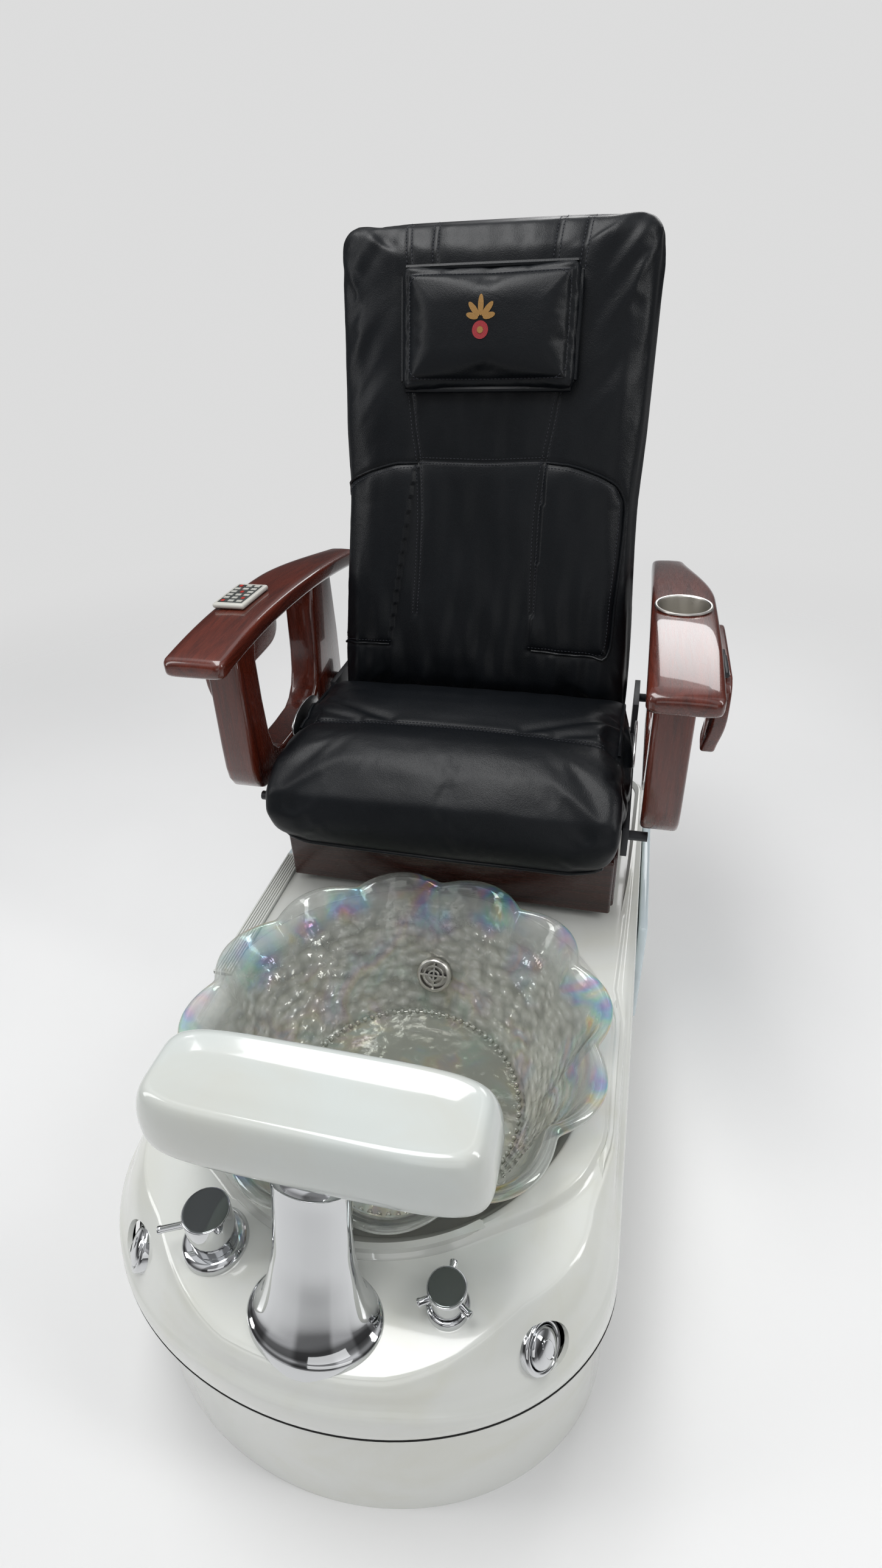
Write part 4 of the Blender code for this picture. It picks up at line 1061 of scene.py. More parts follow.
class SPA_OT_footrest(bpy.types.Operator):
    """Chrome horn, its post and the footrest pad"""

    bl_idname = "spa.footrest"
    bl_label = "Footrest"

    def execute(self, context):
        stations = [
            (0.0805, 0.0565, 0.312), (0.0805, 0.0565, 0.3265), (0.0800, 0.0560, 0.3300), (0.0780, 0.0545, 0.3325),
            (0.0740, 0.0520, 0.3350), (0.0685, 0.0485, 0.341), (0.0632, 0.0450, 0.350), (0.0585, 0.0405, 0.364),
            (0.0535, 0.0355, 0.385), (0.0482, 0.0295, 0.415), (0.0463, 0.0275, 0.445), (0.0452, 0.0265, 0.475),
            (0.0460, 0.0260, 0.500), (0.0478, 0.0268, 0.514), (0.0480, 0.0270, 0.516), (0.0460, 0.0250, 0.516),
            (0.0165, 0.0170, 0.515), (0.0165, 0.0170, 0.420), (0.0165, 0.0170, 0.312),
        ]
        path = smooth_path([Vector(station) for station in stations], 4)
        around = 96

        def horn(u, v):
            half_x, half_y, z = path[v % len(path)]
            centre = HORN_FOOT.lerp(HORN_NECK, (z - HORN_FOOT.z) / (HORN_NECK.z - HORN_FOOT.z))
            angle = 2 * pi * u / around
            return Vector((centre.x + half_x * cos(angle), centre.y + half_y * sin(angle), z))

        bm = wrapped(horn, around, len(path))
        settle(bm, "footrest_horn", "horn_chrome", "base", ["pedestal_horn"])
        eased("footrest_post", "zinc", 0.0008, 2)

        low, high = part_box("footrest_pad")
        centre = (low + high) / 2
        half = (high - low) / 2
        layers = [
            (0.00, 0.0), (0.60, 0.0), (0.86, 0.008), (0.945, 0.04), (0.985, 0.12), (1.0, 0.25), (0.997, 0.40),
            (0.980, 0.58), (0.945, 0.75), (0.890, 0.89), (0.82, 0.97), (0.74, 1.0), (0.66, 0.996),
            (0.50, 0.982), (0.30, 0.965), (0.0, 0.962),
        ]
        curve = smooth_path([Vector((a, b, 0)) for a, b in layers], 4)
        around_pad = 144

        def pad(u, v):
            grow, rise, _ = curve[v]
            angle = 2 * pi * u / around_pad
            power = 0.40
            x = abs(cos(angle)) ** power * (1 if cos(angle) >= 0 else -1)
            y = abs(sin(angle)) ** power * (1 if sin(angle) >= 0 else -1)
            wide = 1 - (1 - grow) * half.y / half.x * 1.25
            wide = wide if grow > 0.4 else grow * (1 - 0.6 * half.y / half.x * 1.25) / 0.4
            return Vector((x * half.x * wide, centre.y + y * half.y * grow, low.z + rise * (high.z - low.z)))

        bm = wrapped(pad, around_pad, len(curve) - 1)
        settle(bm, "footrest_cushion", "pad", "footrest", ["footrest_pad"], sharp=0)
        return {"FINISHED"}


# ---------------------------------------------------------------- taps


def posed(bm, spot, turn=None):
    """The bmesh turned, then moved to a spot."""
    matrix = Matrix.Translation(spot)
    if turn is not None:
        matrix = matrix @ turn
    bmesh.ops.transform(bm, matrix=matrix, verts=bm.verts[:])
    return bm


class SPA_OT_taps(bpy.types.Operator):
    """Mixer, diverter and air buttons"""

    bl_idname = "spa.taps"
    bl_label = "Taps and buttons"

    def execute(self, context):
        ring = [
            (0, 0.316), (0.0400, 0.316), (0.0405, 0.318), (0.0405, 0.336), (0.0398, 0.3385), (0.0375, 0.341),
            (0.0345, 0.3425), (0.0325, 0.343), (0, 0.343),
        ]
        settle(posed(turned(ring), MIXER), "mixer_base_ring", "chrome", "base", ["mixer_ring"])
        gap = [(0, 0.3432), (0.0265, 0.3432), (0.0265, 0.3436), (0, 0.3436)]
        settle(posed(turned(gap), MIXER), "mixer_shadow_gap", "dark_gap", "mixer_cap")
        eased("mixer_cap", "chrome", 0.0012, 3, corner=35, sharp=30)
        # Painted reflection: the cap's top disc is chrome darkened to stand in for dark surroundings mirrored in
        # it.
        disc = [(0, 0.3999), (0.0265, 0.3999), (0.0270, 0.4001), (0.0266, 0.4004), (0.0255, 0.4004), (0, 0.4004)]
        settle(posed(turned(disc), MIXER), "mixer_cap_disc", "chrome_painted_dark_reflection", "mixer_cap")
        eased("mixer_lever", "chrome", 0.0006, 2, corner=35, sharp=30)
        eased("mixer_valve", "brass", 0.0006, 1)

        ring = [
            (0, 0.316), (0.0255, 0.316), (0.0255, 0.3365), (0.0248, 0.3390), (0.0235, 0.3405), (0.0220, 0.341),
            (0, 0.341),
        ]
        settle(posed(turned(ring), DIVERTER), "diverter_base_ring", "chrome", "base", ["diverter_ring"])
        # Painted shadow: a near-black ring in the gap between the diverter's base ring and its knob stands in for
        # the shade there.
        knob_shadow = [(0, 0.341), (0.0205, 0.341), (0.0205, 0.3445), (0, 0.3445)]
        settle(posed(turned(knob_shadow), DIVERTER), "diverter_painted_shadow", "dark_gap", "diverter_knob")
        knob = [
            (0, 0.3443), (0.0195, 0.3443), (0.0215, 0.3465), (0.0222, 0.350), (0.0226, 0.3705), (0.0230, 0.3725),
            (0.0230, 0.3745), (0.0222, 0.3757), (0.0205, 0.3760), (0, 0.3760),
        ]
        settle(posed(turned(knob), DIVERTER), "diverter_handle", "chrome", "diverter_knob",
               ["diverter_knob"])
        # Painted reflection: the knob's top disc is chrome darkened to stand in for dark surroundings mirrored in
        # it.
        disc = [(0, 0.3759), (0.0205, 0.3759), (0.0210, 0.3761), (0.0206, 0.3764), (0.0196, 0.3764), (0, 0.3764)]
        settle(posed(turned(disc), DIVERTER), "diverter_disc", "chrome_painted_dark_reflection", "diverter_knob")
        for number, angle in enumerate((90, 210, 330)):
            peg = [(0, 0.010), (0.0045, 0.010), (0.0045, 0.031), (0.0048, 0.0315), (0.0048, 0.0342),
                   (0.0040, 0.0350), (0, 0.0350)]
            turn = Matrix.Rotation(radians(angle), 4, "Z") @ Matrix.Rotation(pi / 2, 4, "Y")
            bm = posed(turned(peg, 24), DIVERTER + Vector((0, 0, 0.362)), turn)
            settle(bm, f"diverter_peg_{number + 1}", "chrome", "diverter_knob")
        eased("diverter_valve", "brass", 0.0006, 1)

        for side, sign in (("right", 1), ("left", -1)):
            spot, turn = button_place(sign)
            cup = [
                (0, -0.014), (0.0298, -0.014), (0.0300, -0.010), (0.0300, 0.0035), (0.0295, 0.0055),
                (0.0280, 0.0070), (0.0262, 0.0074), (0.0245, 0.0066), (0.0235, 0.0045), (0.0235, -0.010),
                (0, -0.010),
            ]
            settle(posed(turned(cup), spot, turn), f"air_button_cup_{side}", "chrome", "base",
                   [f"button_bezel_{side}"])
            dome = [
                (0, -0.0065), (0.0225, -0.0065), (0.0225, 0.0070), (0.0220, 0.0084), (0.0195, 0.0103),
                (0.0150, 0.0122), (0.0100, 0.0134), (0.0050, 0.0139), (0, 0.0140),
            ]
            settle(posed(turned(dome), spot, turn), f"air_button_dome_{side}", "chrome",
                   f"air_button_{side}", [f"air_button_{side}"])
            oval = [(0.0112, 0.0132), (0.0125, 0.0139), (0.0138, 0.0132), (0.0125, 0.0118)]
            bm = turned(oval, 48, looped=True)
            bmesh.ops.scale(bm, verts=bm.verts[:], vec=(0.62, 1.0, 1.0))
            settle(posed(bm, spot, turn), f"air_button_oval_{side}", "chrome", f"air_button_{side}")
        return {"FINISHED"}


# ---------------------------------------------------------------- seat


class SPA_OT_seat(bpy.types.Operator):
    """Seat cushion with its seams and piping, apron and side panels"""

    bl_idname = "spa.seat"
    bl_label = "Seat"

    def execute(self, context):
        piping = context.scene.spa_chair_sizes.piping_radius
        low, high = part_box("seat_cushion")

        def held(point):
            return point.z < low.z + 0.012 or point.y > high.y - 0.010

        mesh = soften_node("seat_cushion", "seat_pad_mesh", CUSHION_VOXEL, 5, held, 4.0, 0.012)
        fit_box(mesh, low - Vector((0.009, 0.008, 0.008)), high + Vector((0.009, 0.0, 0.005)))
        self.round_nose(mesh)
        points = points_of(mesh)
        normals = normals_of(mesh)
        x, y, z = points.T
        on_top = ramp(normals[:, 2], 0.2, 0.8) * ramp(z, 0.60, 0.65)
        spots = points[:, :2]
        seam = [(-0.30, 0.118), (-0.15, 0.138), (0.0, 0.143), (0.15, 0.138), (0.30, 0.118)]
        sink = 0.0035 * np.exp(-((line_distance(spots, seam) / 0.006) ** 2))
        sink += 0.004 * np.exp(-((line_distance(spots, seam) / 0.03) ** 2))
        for sign in (1, -1):
            creases = [
                ((0.115 * sign, 0.150), (0.285 * sign, 0.215)),
                ((0.17 * sign, 0.142), (0.29 * sign, 0.165)),
            ]
            for ends in creases:
                sink += 0.0035 * np.exp(-((line_distance(spots, ends) / 0.009) ** 2))
        crown = 0.006 * (1 - (x / 0.29) ** 2) * ramp(y, 0.15, 0.24)
        folds = waves(points * np.array([1.0, 2.4, 1.0]), 14, 3.0) * 0.0012
        folds += waves(points * np.array([2.6, 1.0, 1.0]), 9, 8.0) * 0.0018 * ramp(y, 0.16, 0.30)
        points = points + normals * ((crown - sink) * on_top + folds * ramp(z, 0.53, 0.60))[:, None]
        front = ramp(-normals[:, 1], 0.0, 0.7)
        dimple = waves(points * np.array([1.0, 1.0, 2.0]), 8, 5.0) * 0.0012
        points = points + normals * (dimple * front)[:, None]
        write_points(mesh, points)
        pad = settle_mesh(mesh, "seat_pad", "leather", "seat", ["seat_cushion"], sharp=0)

        tree = tree_of(mesh)
        rows = []
        for shift in (-0.004, 0.004):
            path = smooth_path([Vector((a, b + shift, 0)) for a, b in seam], 6)
            path = [spot for spot in path if abs(spot.x) < 0.275]
            rows.append(draped_path(tree, path, Vector((0, 0, 0.9)), (0, 0, -1), 0.0003))
        stitches("seat_seam_stitches", rows, "black_thread", "seat")
        for side, sign in (("right", 1), ("left", -1)):
            middle = Vector((0, 0.16, 0.585))
            spots = []
            for step in range(73):
                angle = radians(-62 - 232 * step / 72)
                way = Vector((0, sin(angle + pi / 2) * -1, cos(angle + pi / 2)))
                origin = middle + Vector((sign * 0.2735, 0, 0)) + way * 0.5
                hit, normal, _, _ = tree.ray_cast(origin, -way)
                if hit is not None:
                    spots.append(hit + normal * piping * 0.35)
            if len(spots) > 8:
                bead(f"seat_piping_{side}", thinned(spots, 0.006), piping, "leather", "seat")
        hem = []
        for step in range(57):
            x_at = -0.272 + 0.544 * step / 56
            origin = Vector((x_at, -0.2, 0.517))
            hit, normal, _, _ = tree.ray_cast(origin, Vector((0, 1, 0)))
            if hit is not None:
                hem.append(hit + normal * piping * 0.35)
        bead("seat_piping_front", hem, piping, "leather", "seat")

        for side, sign in (("right", 1), ("left", -1)):
            outline = [
                (0.205 + 0.062 * cos(radians(angle)), 0.628 + 0.030 * sin(radians(angle)))
                for angle in range(0, 360, 10)
            ]
            ends = sorted((sign * 0.2955, sign * 0.2995))
            settle(slab(outline, *ends, 0.0012, 2), f"seat_oval_plate_{side}", "satin", f"armrest_{side}")
        eased("seat_apron", "apron", 0.003, 2)
        for side in ("left", "right"):
            eased(f"seat_side_{side}", "apron", 0.003, 2)
        eased("seat_pan", "ply", 0.001, 1)
        return {"FINISHED"}

    def round_nose(self, mesh):
        """Lifts the lower corners of the rolled front, so that it ends in a wide curve."""
        points = points_of(mesh)
        out = np.clip((np.abs(points[:, 0]) - 0.205) / 0.090, 0, 1)
        lift = 0.052 * (1 - np.sqrt(1 - 0.96 * out**2)) / 0.8
        low_part = 1 - ramp(points[:, 2], 0.50, 0.60)
        front = 1 - ramp(points[:, 1], 0.04, 0.12)
        points[:, 2] += lift * low_part * front
        points[:, 0] *= 1 - 0.020 * low_part * front
        rear = ramp(points[:, 1], 0.18, 0.33)
        points[:, 0] *= 1 - 0.035 * rear
        write_points(mesh, points)


def thinned(points, gap):
    """Points at least a gap apart."""
    kept = [points[0]]
    for point in points[1:]:
        if (point - kept[-1]).length >= gap:
            kept.append(point)
    return kept


# ---------------------------------------------------------------- backrest


STRAPS = [
    [(-0.145, 0.850), (-0.136, 0.755)],
    [(-0.097, 0.850), (-0.094, 0.755)],
    [(0.107, 0.850), (0.100, 0.755)],
    [(0.152, 0.850), (0.143, 0.755)],
]
CENTRE_SEAMS = [
    [(-0.136, 0.600), (-0.127, 0.520), (-0.120, 0.473), (-0.116, 0.381), (-0.119, 0.290), (-0.123, 0.208)],
    [(0.121, 0.600), (0.109, 0.520), (0.101, 0.475), (0.093, 0.386), (0.093, 0.300), (0.095, 0.219)],
]
CROSS_SEAM = [(-0.120, 0.473), (0.0, 0.471), (0.101, 0.475)]
BOLSTERS = [
    [
        (-0.123, 0.469), (-0.165, 0.466), (-0.215, 0.452), (-0.248, 0.438), (-0.262, 0.415), (-0.266, 0.36),
        (-0.272, 0.25), (-0.276, 0.152), (-0.250, 0.146), (-0.172, 0.148),
    ],
    [
        (0.106, 0.471), (0.150, 0.466), (0.196, 0.452), (0.226, 0.436), (0.241, 0.410), (0.243, 0.36),
        (0.240, 0.25), (0.236, 0.151), (0.20, 0.147), (0.094, 0.151),
    ],
]


class SPA_OT_backrest(bpy.types.Operator):
    """Backrest upholstery, head pillow and rear shell"""

    bl_idname = "spa.backrest"
    bl_label = "Backrest"

    def execute(self, context):
        piping = context.scene.spa_chair_sizes.piping_radius
        matrix = back_matrix()
        inverse = matrix.inverted()

        def held(point):
            return (inverse @ point).y > 0.012

        mesh = soften_node("back_cushion", "back_pad_mesh", CUSHION_VOXEL, 5, held, 3.0, 0.008)
        fit_box(mesh, (-0.276, -0.056, 0.072), (0.276, 0.028, 0.841), matrix)
        points = local_points(points_of(mesh), matrix)
        points[:, 2] -= 0.048 * (1 - ramp(points[:, 2], 0.07, 0.22))
        points[:, 1] += 0.012 * (1 - ramp(points[:, 2], 0.02, 0.14)) * (points[:, 1] < 0.0)
        turn = np.array(matrix.to_3x3())
        normals = normals_of(mesh) @ turn
        spots = points[:, [0, 2]]
        facing = ramp(-normals[:, 1], 0.25, 0.85)
        move = np.zeros(len(points))
        for line in STRAPS + CENTRE_SEAMS + [CROSS_SEAM]:
            gap = line_distance(spots, line)
            move -= 0.0022 * np.exp(-((gap / 0.004) ** 2)) + 0.0022 * np.exp(-((gap / 0.018) ** 2))
        for loop in BOLSTERS:
            gap = line_distance(spots, loop)
            within = inside(spots, loop)
            move += np.where(within, 0.007 * (1 - np.exp(-gap / 0.016)), 0.0)
            move -= 0.0026 * np.exp(-((gap / 0.005) ** 2))
        x, height = spots[:, 0], spots[:, 1]
        long_folds = waves(points * np.array([3.2, 1.0, 0.9]), 12, 2.0)
        hanging = 0.0050 * (1 - ramp(height, 0.10, 0.34)) + 0.0014
        move += long_folds * hanging
        slack = waves(points * np.array([1.6, 1.0, 0.8]), 9, 11.0)
        outer = ramp(np.abs(x), 0.12, 0.22) * ramp(height, 0.45, 0.60)
        move += slack * 0.0060 * outer
        slant = points @ np.array([[1.0, 0, 0.7], [0, 1, 0], [-0.7, 0, 1.0]])
        move += waves(slant * np.array([3.0, 1.0, 0.8]), 9, 21.0) * 0.0042 * outer
        hollow = -0.004 * np.exp(-((x / 0.09) ** 2)) * ramp(height, 0.25, 0.35) * (1 - ramp(height, 0.50, 0.60))
        points = points + normals * ((move + hollow) * facing)[:, None]
        write_points(mesh, world_points(points, matrix))
        pad = settle_mesh(mesh, "back_pad", "leather", "backrest", ["back_cushion"], sharp=0)

        tree = tree_of(mesh)
        rows = []
        for line in STRAPS + CENTRE_SEAMS + [CROSS_SEAM]:
            for shift in (-0.0045, 0.0045):
                flat = [Vector((a, 0, b)) for a, b in line]
                way = (flat[-1] - flat[0]).normalized()
                side = Vector((way.z, 0, -way.x)) * shift
                path = smooth_path([spot + side for spot in flat], 5)
                rows.append(draped_path(tree, path, Vector((0, -0.4, 0)), (0, 1, 0), 0.0003, matrix))
        for number, loop in enumerate(BOLSTERS):
            flat = smooth_path([Vector((a, 0, b)) for a, b in loop], 5)
            found = draped_path(tree, flat, Vector((0, -0.4, 0)), (0, 1, 0), piping * 0.3, matrix)
            bead(f"bolster_piping_{number + 1}", thinned([spot for spot, _ in found], 0.006), piping * 0.8,
                 "leather", "backrest")
            inset = smooth_path([Vector((a * 0.962, 0, 0.30 + (b - 0.30) * 0.955)) for a, b in loop], 5)
            rows.append(draped_path(tree, inset, Vector((0, -0.4, 0)), (0, 1, 0), 0.0003, matrix))
        stitches("back_stitches", rows, "black_thread", "backrest")

        self.pillow(matrix, piping)
        eased("back_shell", "black_plastic", 0.004, 2, corner=40)
        return {"FINISHED"}

    def pillow(self, matrix, piping):
        """The head pillow with its piping, its stitches and its motif."""
        inverse = matrix.inverted()

        def held(point):
            return (inverse @ point).y > -0.058

        mesh = soften_node("head_pillow", "pillow_mesh", PILLOW_VOXEL, 4, held, 5.0, 0.010)
        half, bottom, top = 0.146, 0.580, 0.763
        fit_box(mesh, (-half, -0.0935, bottom), (half, -0.0500, top), matrix)
        points = local_points(points_of(mesh), matrix)
        turn = np.array(matrix.to_3x3())
        normals = normals_of(mesh) @ turn
        edge = np.minimum(
            np.minimum(points[:, 0] + half, half - points[:, 0]),
            np.minimum(points[:, 2] - bottom, top - points[:, 2]),
        )
        front = ramp(-normals[:, 1], 0.2, 0.8)
        sink = 0.0030 * np.exp(-(((edge - 0.014) / 0.005) ** 2))
        crown = 0.004 * ramp(edge, 0.010, 0.06)
        folds = waves(points, 16, 4.0) * 0.0010
        points = points + normals * ((crown - sink + folds) * front)[:, None]
        write_points(mesh, world_points(points, matrix))
        pad = settle_mesh(mesh, "pillow_pad", "leather", "backrest", ["head_pillow"], sharp=0)
        tree = tree_of(mesh)
        rim = []
        corner = 0.024
        for x_at, z_at, start in (
            (0.1435 - corner, 0.7605 - corner, 0),
            (-0.1435 + corner, 0.7605 - corner, 90),
            (-0.1435 + corner, 0.5825 + corner, 180),
            (0.1435 - corner, 0.5825 + corner, 270),
        ):
            for step in range(7):
                angle = radians(start + 15 * step)
                rim.append(Vector((x_at + corner * cos(angle), 0, z_at + corner * sin(angle))))
        dense = smooth_path(rim, 3, closed=True)
        ring = [matrix @ Vector((spot.x, -0.0665, spot.z)) for spot in dense]
        bead("pillow_piping", thinned(ring, 0.005), piping * 1.5, "leather", "backrest", closed=True)
        inset = [Vector((spot.x * 0.905, 0, 0.6715 + (spot.z - 0.6715) * 0.84)) for spot in [*dense, dense[0]]]
        rows = [draped_path(tree, inset, Vector((0, -0.4, 0)), (0, 1, 0), 0.0003, matrix)]
        stitches("pillow_stitches", rows, "black_thread", "backrest")
        self.motif(tree, matrix)

    def motif(self, tree, matrix):
        """A plain embroidered leaf spray over a round badge."""

        def patch(name, look, outline_spot, count, lift):
            bm = bmesh.new()
            bmesh.ops.create_circle(bm, cap_ends=True, cap_tris=True, segments=count, radius=1.0)
            bmesh.ops.subdivide_edges(bm, edges=bm.edges[:], cuts=3, use_grid_fill=True)
            for vert in bm.verts:
                spot = outline_spot(vert.co.x, vert.co.y)
                origin = matrix @ Vector((spot[0], -0.4, spot[1]))
                hit, normal, _, _ = tree.ray_cast(origin, matrix.to_3x3() @ Vector((0, 1, 0)))
                if hit is None:
                    raise RuntimeError("the badge misses the pillow")
                vert.co = hit + normal * lift
            return settle(bm, name, look, "backrest")

        centre = Vector((-0.008, 0.680))
        leaves = [(90, 0.030), (130, 0.026), (50, 0.026), (165, 0.020), (15, 0.020)]
        for number, (angle, length) in enumerate(leaves):
            a = radians(angle)

            def leaf(x, y, a=a, length=length):
                along = (x + 1) / 2 * length + 0.004
                across = y * 0.0045
                return (
                    centre.x + along * cos(a) - across * sin(a),
                    centre.y + along * sin(a) + across * cos(a),
                )

            patch(f"motif_leaf_{number + 1}", "gold_thread", leaf, 20, 0.0009)
        for name, look, radius, count, lift in (
            ("motif_badge", "red_thread", 0.013, 28, 0.0008),
            ("motif_badge_centre", "gold_thread", 0.005, 20, 0.0014),
        ):

            def disc(x, y, radius=radius):
                return centre.x + x * radius, centre.y - 0.016 + y * radius

            patch(name, look, disc, count, lift)


# ---------------------------------------------------------------- armrests


ARM_FRONT, ARM_REAR = -0.045, 0.570
CUP_CENTRE = Vector((0.348, 0.235, 0))


def arm_top(y):
    """Height of the bowed armrest."""
    fall = 0.37 if y < 0.170 else 0.20
    return 0.862 - fall * (y - 0.170) ** 2


def arm_outer(y):
    """How far out the armrest's outer edge is."""
    return 0.400 - 0.044 * float(ramp(y, 0.30, 0.60))


LOOP = [
    (0.030, 0.842), (0.024, 0.740), (0.0205, 0.660), (0.0200, 0.620), (0.0235, 0.597), (0.034, 0.579),
    (0.048, 0.569), (0.068, 0.566), (0.200, 0.5655), (0.400, 0.566), (0.428, 0.570), (0.443, 0.582),
    (0.450, 0.605), (0.452, 0.700), (0.446, 0.822), (0.360, 0.845), (0.338, 0.780), (0.330, 0.700),
    (0.322, 0.662), (0.310, 0.636), (0.292, 0.618), (0.270, 0.608), (0.220, 0.605), (0.140, 0.605),
    (0.118, 0.612), (0.102, 0.630), (0.094, 0.660), (0.091, 0.720), (0.092, 0.790), (0.108, 0.846),
]


class SPA_OT_armrests(bpy.types.Operator):
    """Lacquered armrests, cup insert, keypad and folding trays"""

    bl_idname = "spa.armrests"
    bl_label = "Armrests"

    def execute(self, context):
        around = 48
        for side, sign in (("right", 1), ("left", -1)):
            body = f"armrest_{side}"
            stations = [ARM_FRONT, ARM_FRONT + 0.0008, ARM_FRONT + 0.003, ARM_FRONT + 0.007, ARM_FRONT + 0.013]
            stations += [-0.02 + 0.568 * step / 40 for step in range(41)]
            stations += [ARM_REAR - 0.013, ARM_REAR - 0.007, ARM_REAR - 0.003, ARM_REAR - 0.0008, ARM_REAR]

            def rail(u, v):
                if v == 0 or v == len(stations) + 1:
                    y = ARM_FRONT if v == 0 else ARM_REAR
                    return Vector((sign * (0.300 + arm_outer(y)) / 2, y, arm_top(y) - 0.015))
                y = stations[v - 1]
                end = min(y - ARM_FRONT, ARM_REAR - y, 0.014) / 0.014
                pinch = 0.013 * (1 - sqrt(max(0, 1 - (1 - end) ** 2)))
                inner, outer = 0.300 + pinch, arm_outer(y) - pinch
                half_x = (outer - inner) / 2
                half_z = 0.015 - pinch * 0.75
                angle = 2 * pi * u / around
                bow_x = abs(cos(angle)) ** 0.30 * (1 if cos(angle) > 0 else -1)
                bow_z = abs(sin(angle)) ** 0.42 * (1 if sin(angle) > 0 else -1)
                crown = 0.0015 * (1 - bow_x * bow_x) if bow_z > 0 else 0
                return Vector((sign * ((inner + outer) / 2 + half_x * bow_x), y,
                               arm_top(y) - 0.0165 + half_z * bow_z + crown))

            bm = wrapped(rail, around, len(stations) + 1)
            bmesh.ops.recalc_face_normals(bm, faces=bm.faces[:])
            mesh = mesh_of(bm, "rail_draft")
            if side == "right":
                mesh = self.bored(mesh)
            settle_mesh(mesh, f"{body}_top", "mahogany", body, [body], sharp=45)
            ends = sorted((sign * 0.3150, sign * 0.372))
            settle(slab(LOOP, *ends, 0.008, 4), f"{body}_loop", "mahogany_upright", body,
                   sharp=45)
            self.tray(side, sign)
            eased(f"tray_hinge_{side}", "steel", 0.0008, 2)
        self.cup()
        self.keypad()
        return {"FINISHED"}

    def tray(self, side, sign):
        """The folded tray: a curved board whose front end hooks down and inward."""
        low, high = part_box(f"tray_{side}")
        edge = [
            (0.104, 0.690), (0.108, 0.681), (0.120, 0.680), (0.142, 0.6855), (0.158, 0.699), (0.180, 0.707),
            (0.300, 0.712), (0.336, 0.718), (0.354, 0.732), (0.360, 0.752), (0.356, 0.778), (0.340, 0.793),
            (0.310, 0.799), (0.150, 0.800), (0.124, 0.797), (0.108, 0.785), (0.101, 0.760), (0.100, 0.720),
        ]
        outline = [(spot.x, spot.y) for spot in smooth_path([Vector((y, z, 0)) for y, z in edge], 4, closed=True)]
        bm = slab(outline, low.x, high.x, 0.005, 4)
        for vert in bm.verts:
            sag = (1 - float(ramp(vert.co.z, 0.68, 0.76))) ** 2
            vert.co.x -= sign * 0.010 * sag * float(ramp(0.22 - vert.co.y, 0.0, 0.08))
        settle(bm, f"tray_board_{side}", "mahogany", f"tray_{side}", [f"tray_{side}"], sharp=45)

    def bored(self, mesh):
        """The right rail with the hole for the cup insert."""
        draft = placed("rail_draft", mesh)
        bm = bmesh.new()
        bmesh.ops.create_cone(
            bm, cap_ends=True, segments=64, radius1=0.0405, radius2=0.0405, depth=0.1,
            matrix=Matrix.Translation(CUP_CENTRE + Vector((0, 0, 0.85))),
        )
        cutter = placed("cup_bore", mesh_of(bm, "cup_bore"))
        bore = draft.modifiers.new("bore", "BOOLEAN")
        bore.object = cutter
        bored = evaluated_mesh(draft)
        bpy.data.objects.remove(draft)
        bpy.data.objects.remove(cutter)
        return bored

    def cup(self):
        """The steel cup insert with its rolled rim."""
        beaker = [
            (0, 0.7945), (0.0370, 0.7945), (0.0392, 0.7960), (0.0400, 0.7990), (0.0400, 0.8622), (0.0437, 0.8622),
            (0.0444, 0.8634), (0.0440, 0.8648), (0.0425, 0.8656), (0.0405, 0.8654), (0.0390, 0.8640),
            (0.0384, 0.8610), (0.0384, 0.8030), (0.0376, 0.7990), (0.0350, 0.7968), (0, 0.7962),
        ]
        bm = posed(turned(beaker, 96), CUP_CENTRE)
        settle(bm, "cup_holder", "cup_steel", "cup", ["cup_insert"], sharp=30)

    def keypad(self):
        """The remote with a dark face and 18 keys."""
        low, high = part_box("remote_keypad")
        settle(box(low, (high.x, high.y, high.z - 0.0015), 0.004, 4), "keypad_frame", "silver_plastic",
               "armrest_left", ["remote_keypad"])
        inset = Vector((0.006, 0.008, 0))
        face_low = Vector((low.x, low.y, high.z - 0.004)) + inset
        face_high = Vector((high.x, high.y, high.z - 0.0008)) - inset
        settle(box(face_low, face_high, 0.0012, 2), "keypad_face", "keypad_face", "armrest_left")
        for row in range(6):
            for column in range(3):
                x = face_low.x + (column + 0.5) * (face_high.x - face_low.x) / 3
                y = face_low.y + (row + 0.5) * (face_high.y - face_low.y) / 6
                look = "red_key" if (row + column * 2) % 5 == 0 else "key"
                size = 0.0048 if look == "key" else 0.0028
                settle(
                    box((x - size, y - 0.0038, face_high.z - 0.0006), (x + size, y + 0.0038, face_high.z + 0.0009),
                        0.0007, 2),
                    f"keypad_key_{row + 1}_{column + 1}",
                    look,
                    "armrest_left",
                )


# ---------------------------------------------------------------- mechanism


class SPA_OT_mechanism(bpy.types.Operator):
    """Frames, rails, motors and hoses"""

    bl_idname = "spa.mechanism"
    bl_label = "Mechanism"

    def execute(self, context):
        plain = {
            "steel": ["base_frame", "seat_frame", "back_frame"],
            "zinc": [
                "slide_rail_left", "slide_rail_right", "seat_motor_rod", "recline_shaft", "recline_rod",
                "lead_screw", "kneader",
            ],
            "black_plastic": ["jet_motor", "seat_motor", "recline_motor", "massage_carriage"],
            "grey_plastic": ["control_box"],
        }
        for look, nodes in plain.items():
            for node in nodes:
                eased(node, look, 0.0008, 2)
        for node in ("hot_hose", "cold_hose", "drain_hose"):
            eased(node, "hose", 0.0004, 1, corner=60, sharp=60)
        return {"FINISHED"}


# ---------------------------------------------------------------- studio


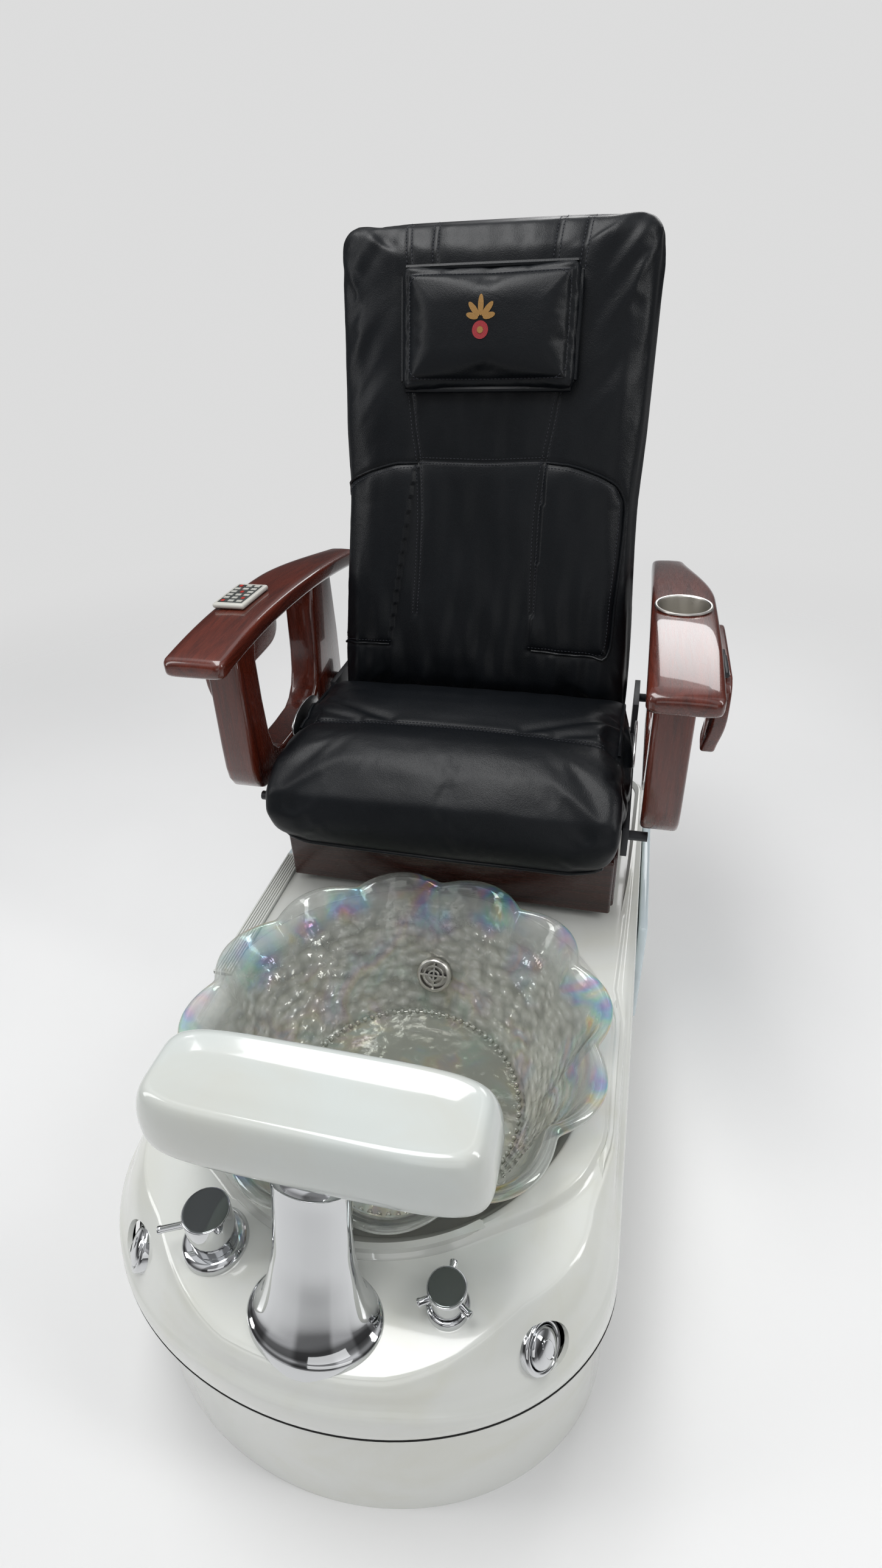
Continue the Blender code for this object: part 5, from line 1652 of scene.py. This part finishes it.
class SPA_OT_studio(bpy.types.Operator):
    """Pale floor, soft light and the camera"""

    bl_idname = "spa.studio"
    bl_label = "Studio"

    def execute(self, context):
        scene = context.scene
        floor = bmesh.new()
        bmesh.ops.create_grid(floor, x_segments=4, y_segments=4, size=14)
        mesh = mesh_of(floor, "studio_floor")
        g = Graph("pale floor")
        cloud = g.noise(2.0, 3)
        reach = g.add("ShaderNodeVectorMath", {"operation": "LENGTH"}, {0: g.place()}, "Value")
        tone = g.blend(cloud, [0.86, 0.86, 0.855], [0.90, 0.90, 0.895])
        g.finish(tone, cloud * 0.1 + 0.6, alpha=1.0 - reach.stepped(1.0, 3.6))
        mesh.materials.append(g.material)
        ground = placed("studio_floor", mesh)

        world = bpy.data.worlds.new("studio")
        scene.world = world
        g = Graph("studio", world)
        way = g.add("ShaderNodeTexCoord", out="Generated")
        east, north, height = (g.add("ShaderNodeSeparateXYZ", None, {0: way}, axis) for axis in "XYZ")
        rise = g.add("ShaderNodeMapRange", None, {0: height, 1: -1.0})
        greys = ((0.46, 0.50), (0.52, 0.16), (0.64, 0.12), (0.74, 0.34), (0.86, 0.80))
        stops = [(spot, (grey, grey, grey * 1.02)) for spot, grey in greys]
        tones = g.ramp(rise, [(0.0, (0.62, 0.62, 0.60)), *stops, (1.0, (0.90, 0.92, 0.95))])
        swing = (north.math("ARCTAN2", east) * 5.0).math("SINE")
        folds = {0: swing, 1: -0.2, 2: 0.5, 3: 0.45, 4: 1.25}
        curtain = g.add("ShaderNodeMapRange", {"interpolation_type": "SMOOTHSTEP"}, folds)
        lit = g.add("ShaderNodeVectorMath", {"operation": "SCALE"}, {0: tones, 3: curtain})
        seen = g.add("ShaderNodeLightPath", out="Is Camera Ray")
        g.tree.links.new(g.blend(seen, lit, (1, 1, 1)).socket, g.shader.inputs["Color"])
        g.shader.inputs["Strength"].default_value = 0.72

        lamps = [
            ("overhead_softbox", (-0.5, -0.2, 3.4), (0, 0, 0.4), (2.2, 1.0), 46),
            ("left_strip", (-2.6, -1.2, 2.2), (0, 0, 0.6), (0.6, 2.4), 20),
            ("right_strip", (2.5, -0.6, 2.4), (0, 0, 0.5), (0.5, 2.4), 24),
            ("rear_softbox", (0.6, 3.0, 2.6), (0, 0.2, 0.8), (2.0, 1.2), 26),
            ("front_fill", (0.8, -3.4, 1.6), (0, 0, 0.5), (2.4, 1.6), 9),
        ]
        for name, spot, target, size, power in lamps:
            lamp = bpy.data.lights.new(name, "AREA")
            lamp.shape = "RECTANGLE"
            lamp.size, lamp.size_y = size
            lamp.energy = power
            holder = placed(name, lamp)
            holder.location = spot
            way = Vector(target) - Vector(spot)
            holder.rotation_euler = way.to_track_quat("-Z", "Y").to_euler()

        lens = bpy.data.cameras.new("studio_camera")
        lens.sensor_width = 36
        lens.lens = 18.0897
        lens.clip_start = 0.05
        camera = placed("studio_camera", lens)
        right = Vector((0.97194986, 0.23242241, -0.03596246))
        up = Vector((-0.09829017, 0.54033737, 0.83568808))
        ahead = Vector((-0.2136645, 0.80871215, -0.54802567))
        turn = Matrix((right, up, -ahead)).transposed()
        camera.matrix_world = Matrix.Translation((0.27054643, -0.98579051, 1.31352546)) @ turn.to_4x4()
        scene.camera = camera
        scene.view_settings.view_transform = "Standard"
        return {"FINISHED"}


class SPA_PT_panel(bpy.types.Panel):
    """Lists the sizes, the colours and the operators."""

    bl_label = "Spa chair"
    bl_idname = "SPA_PT_panel"
    bl_space_type = "VIEW_3D"
    bl_region_type = "UI"
    bl_category = "Spa chair"

    def draw(self, context):
        for group in (context.scene.spa_chair_sizes, context.scene.spa_chair_colours):
            for name in group.bl_rna.properties.keys():
                if name not in ("rna_type", "name"):
                    self.layout.prop(group, name)
        for maker in MAKERS:
            self.layout.operator(maker.bl_idname)


MAKERS = (
    SPA_OT_studio,
    SPA_OT_base,
    SPA_OT_bowl,
    SPA_OT_footrest,
    SPA_OT_taps,
    SPA_OT_seat,
    SPA_OT_backrest,
    SPA_OT_armrests,
    SPA_OT_mechanism,
)
CLASSES = (SpaChairSizes, SpaChairColours, *MAKERS, SPA_PT_panel)


def register():
    for item in CLASSES:
        bpy.utils.register_class(item)
    bpy.types.Scene.spa_chair_sizes = PointerProperty(type=SpaChairSizes)
    bpy.types.Scene.spa_chair_colours = PointerProperty(type=SpaChairColours)


def unregister():
    del bpy.types.Scene.spa_chair_colours
    del bpy.types.Scene.spa_chair_sizes
    for item in reversed(CLASSES):
        bpy.utils.unregister_class(item)


def main():
    register()
    bpy.ops.spa.studio()
    bpy.ops.spa.base()
    bpy.ops.spa.bowl()
    bpy.ops.spa.footrest()
    bpy.ops.spa.taps()
    bpy.ops.spa.seat()
    bpy.ops.spa.backrest()
    bpy.ops.spa.armrests()
    bpy.ops.spa.mechanism()


if __name__ == "__main__":
    main()
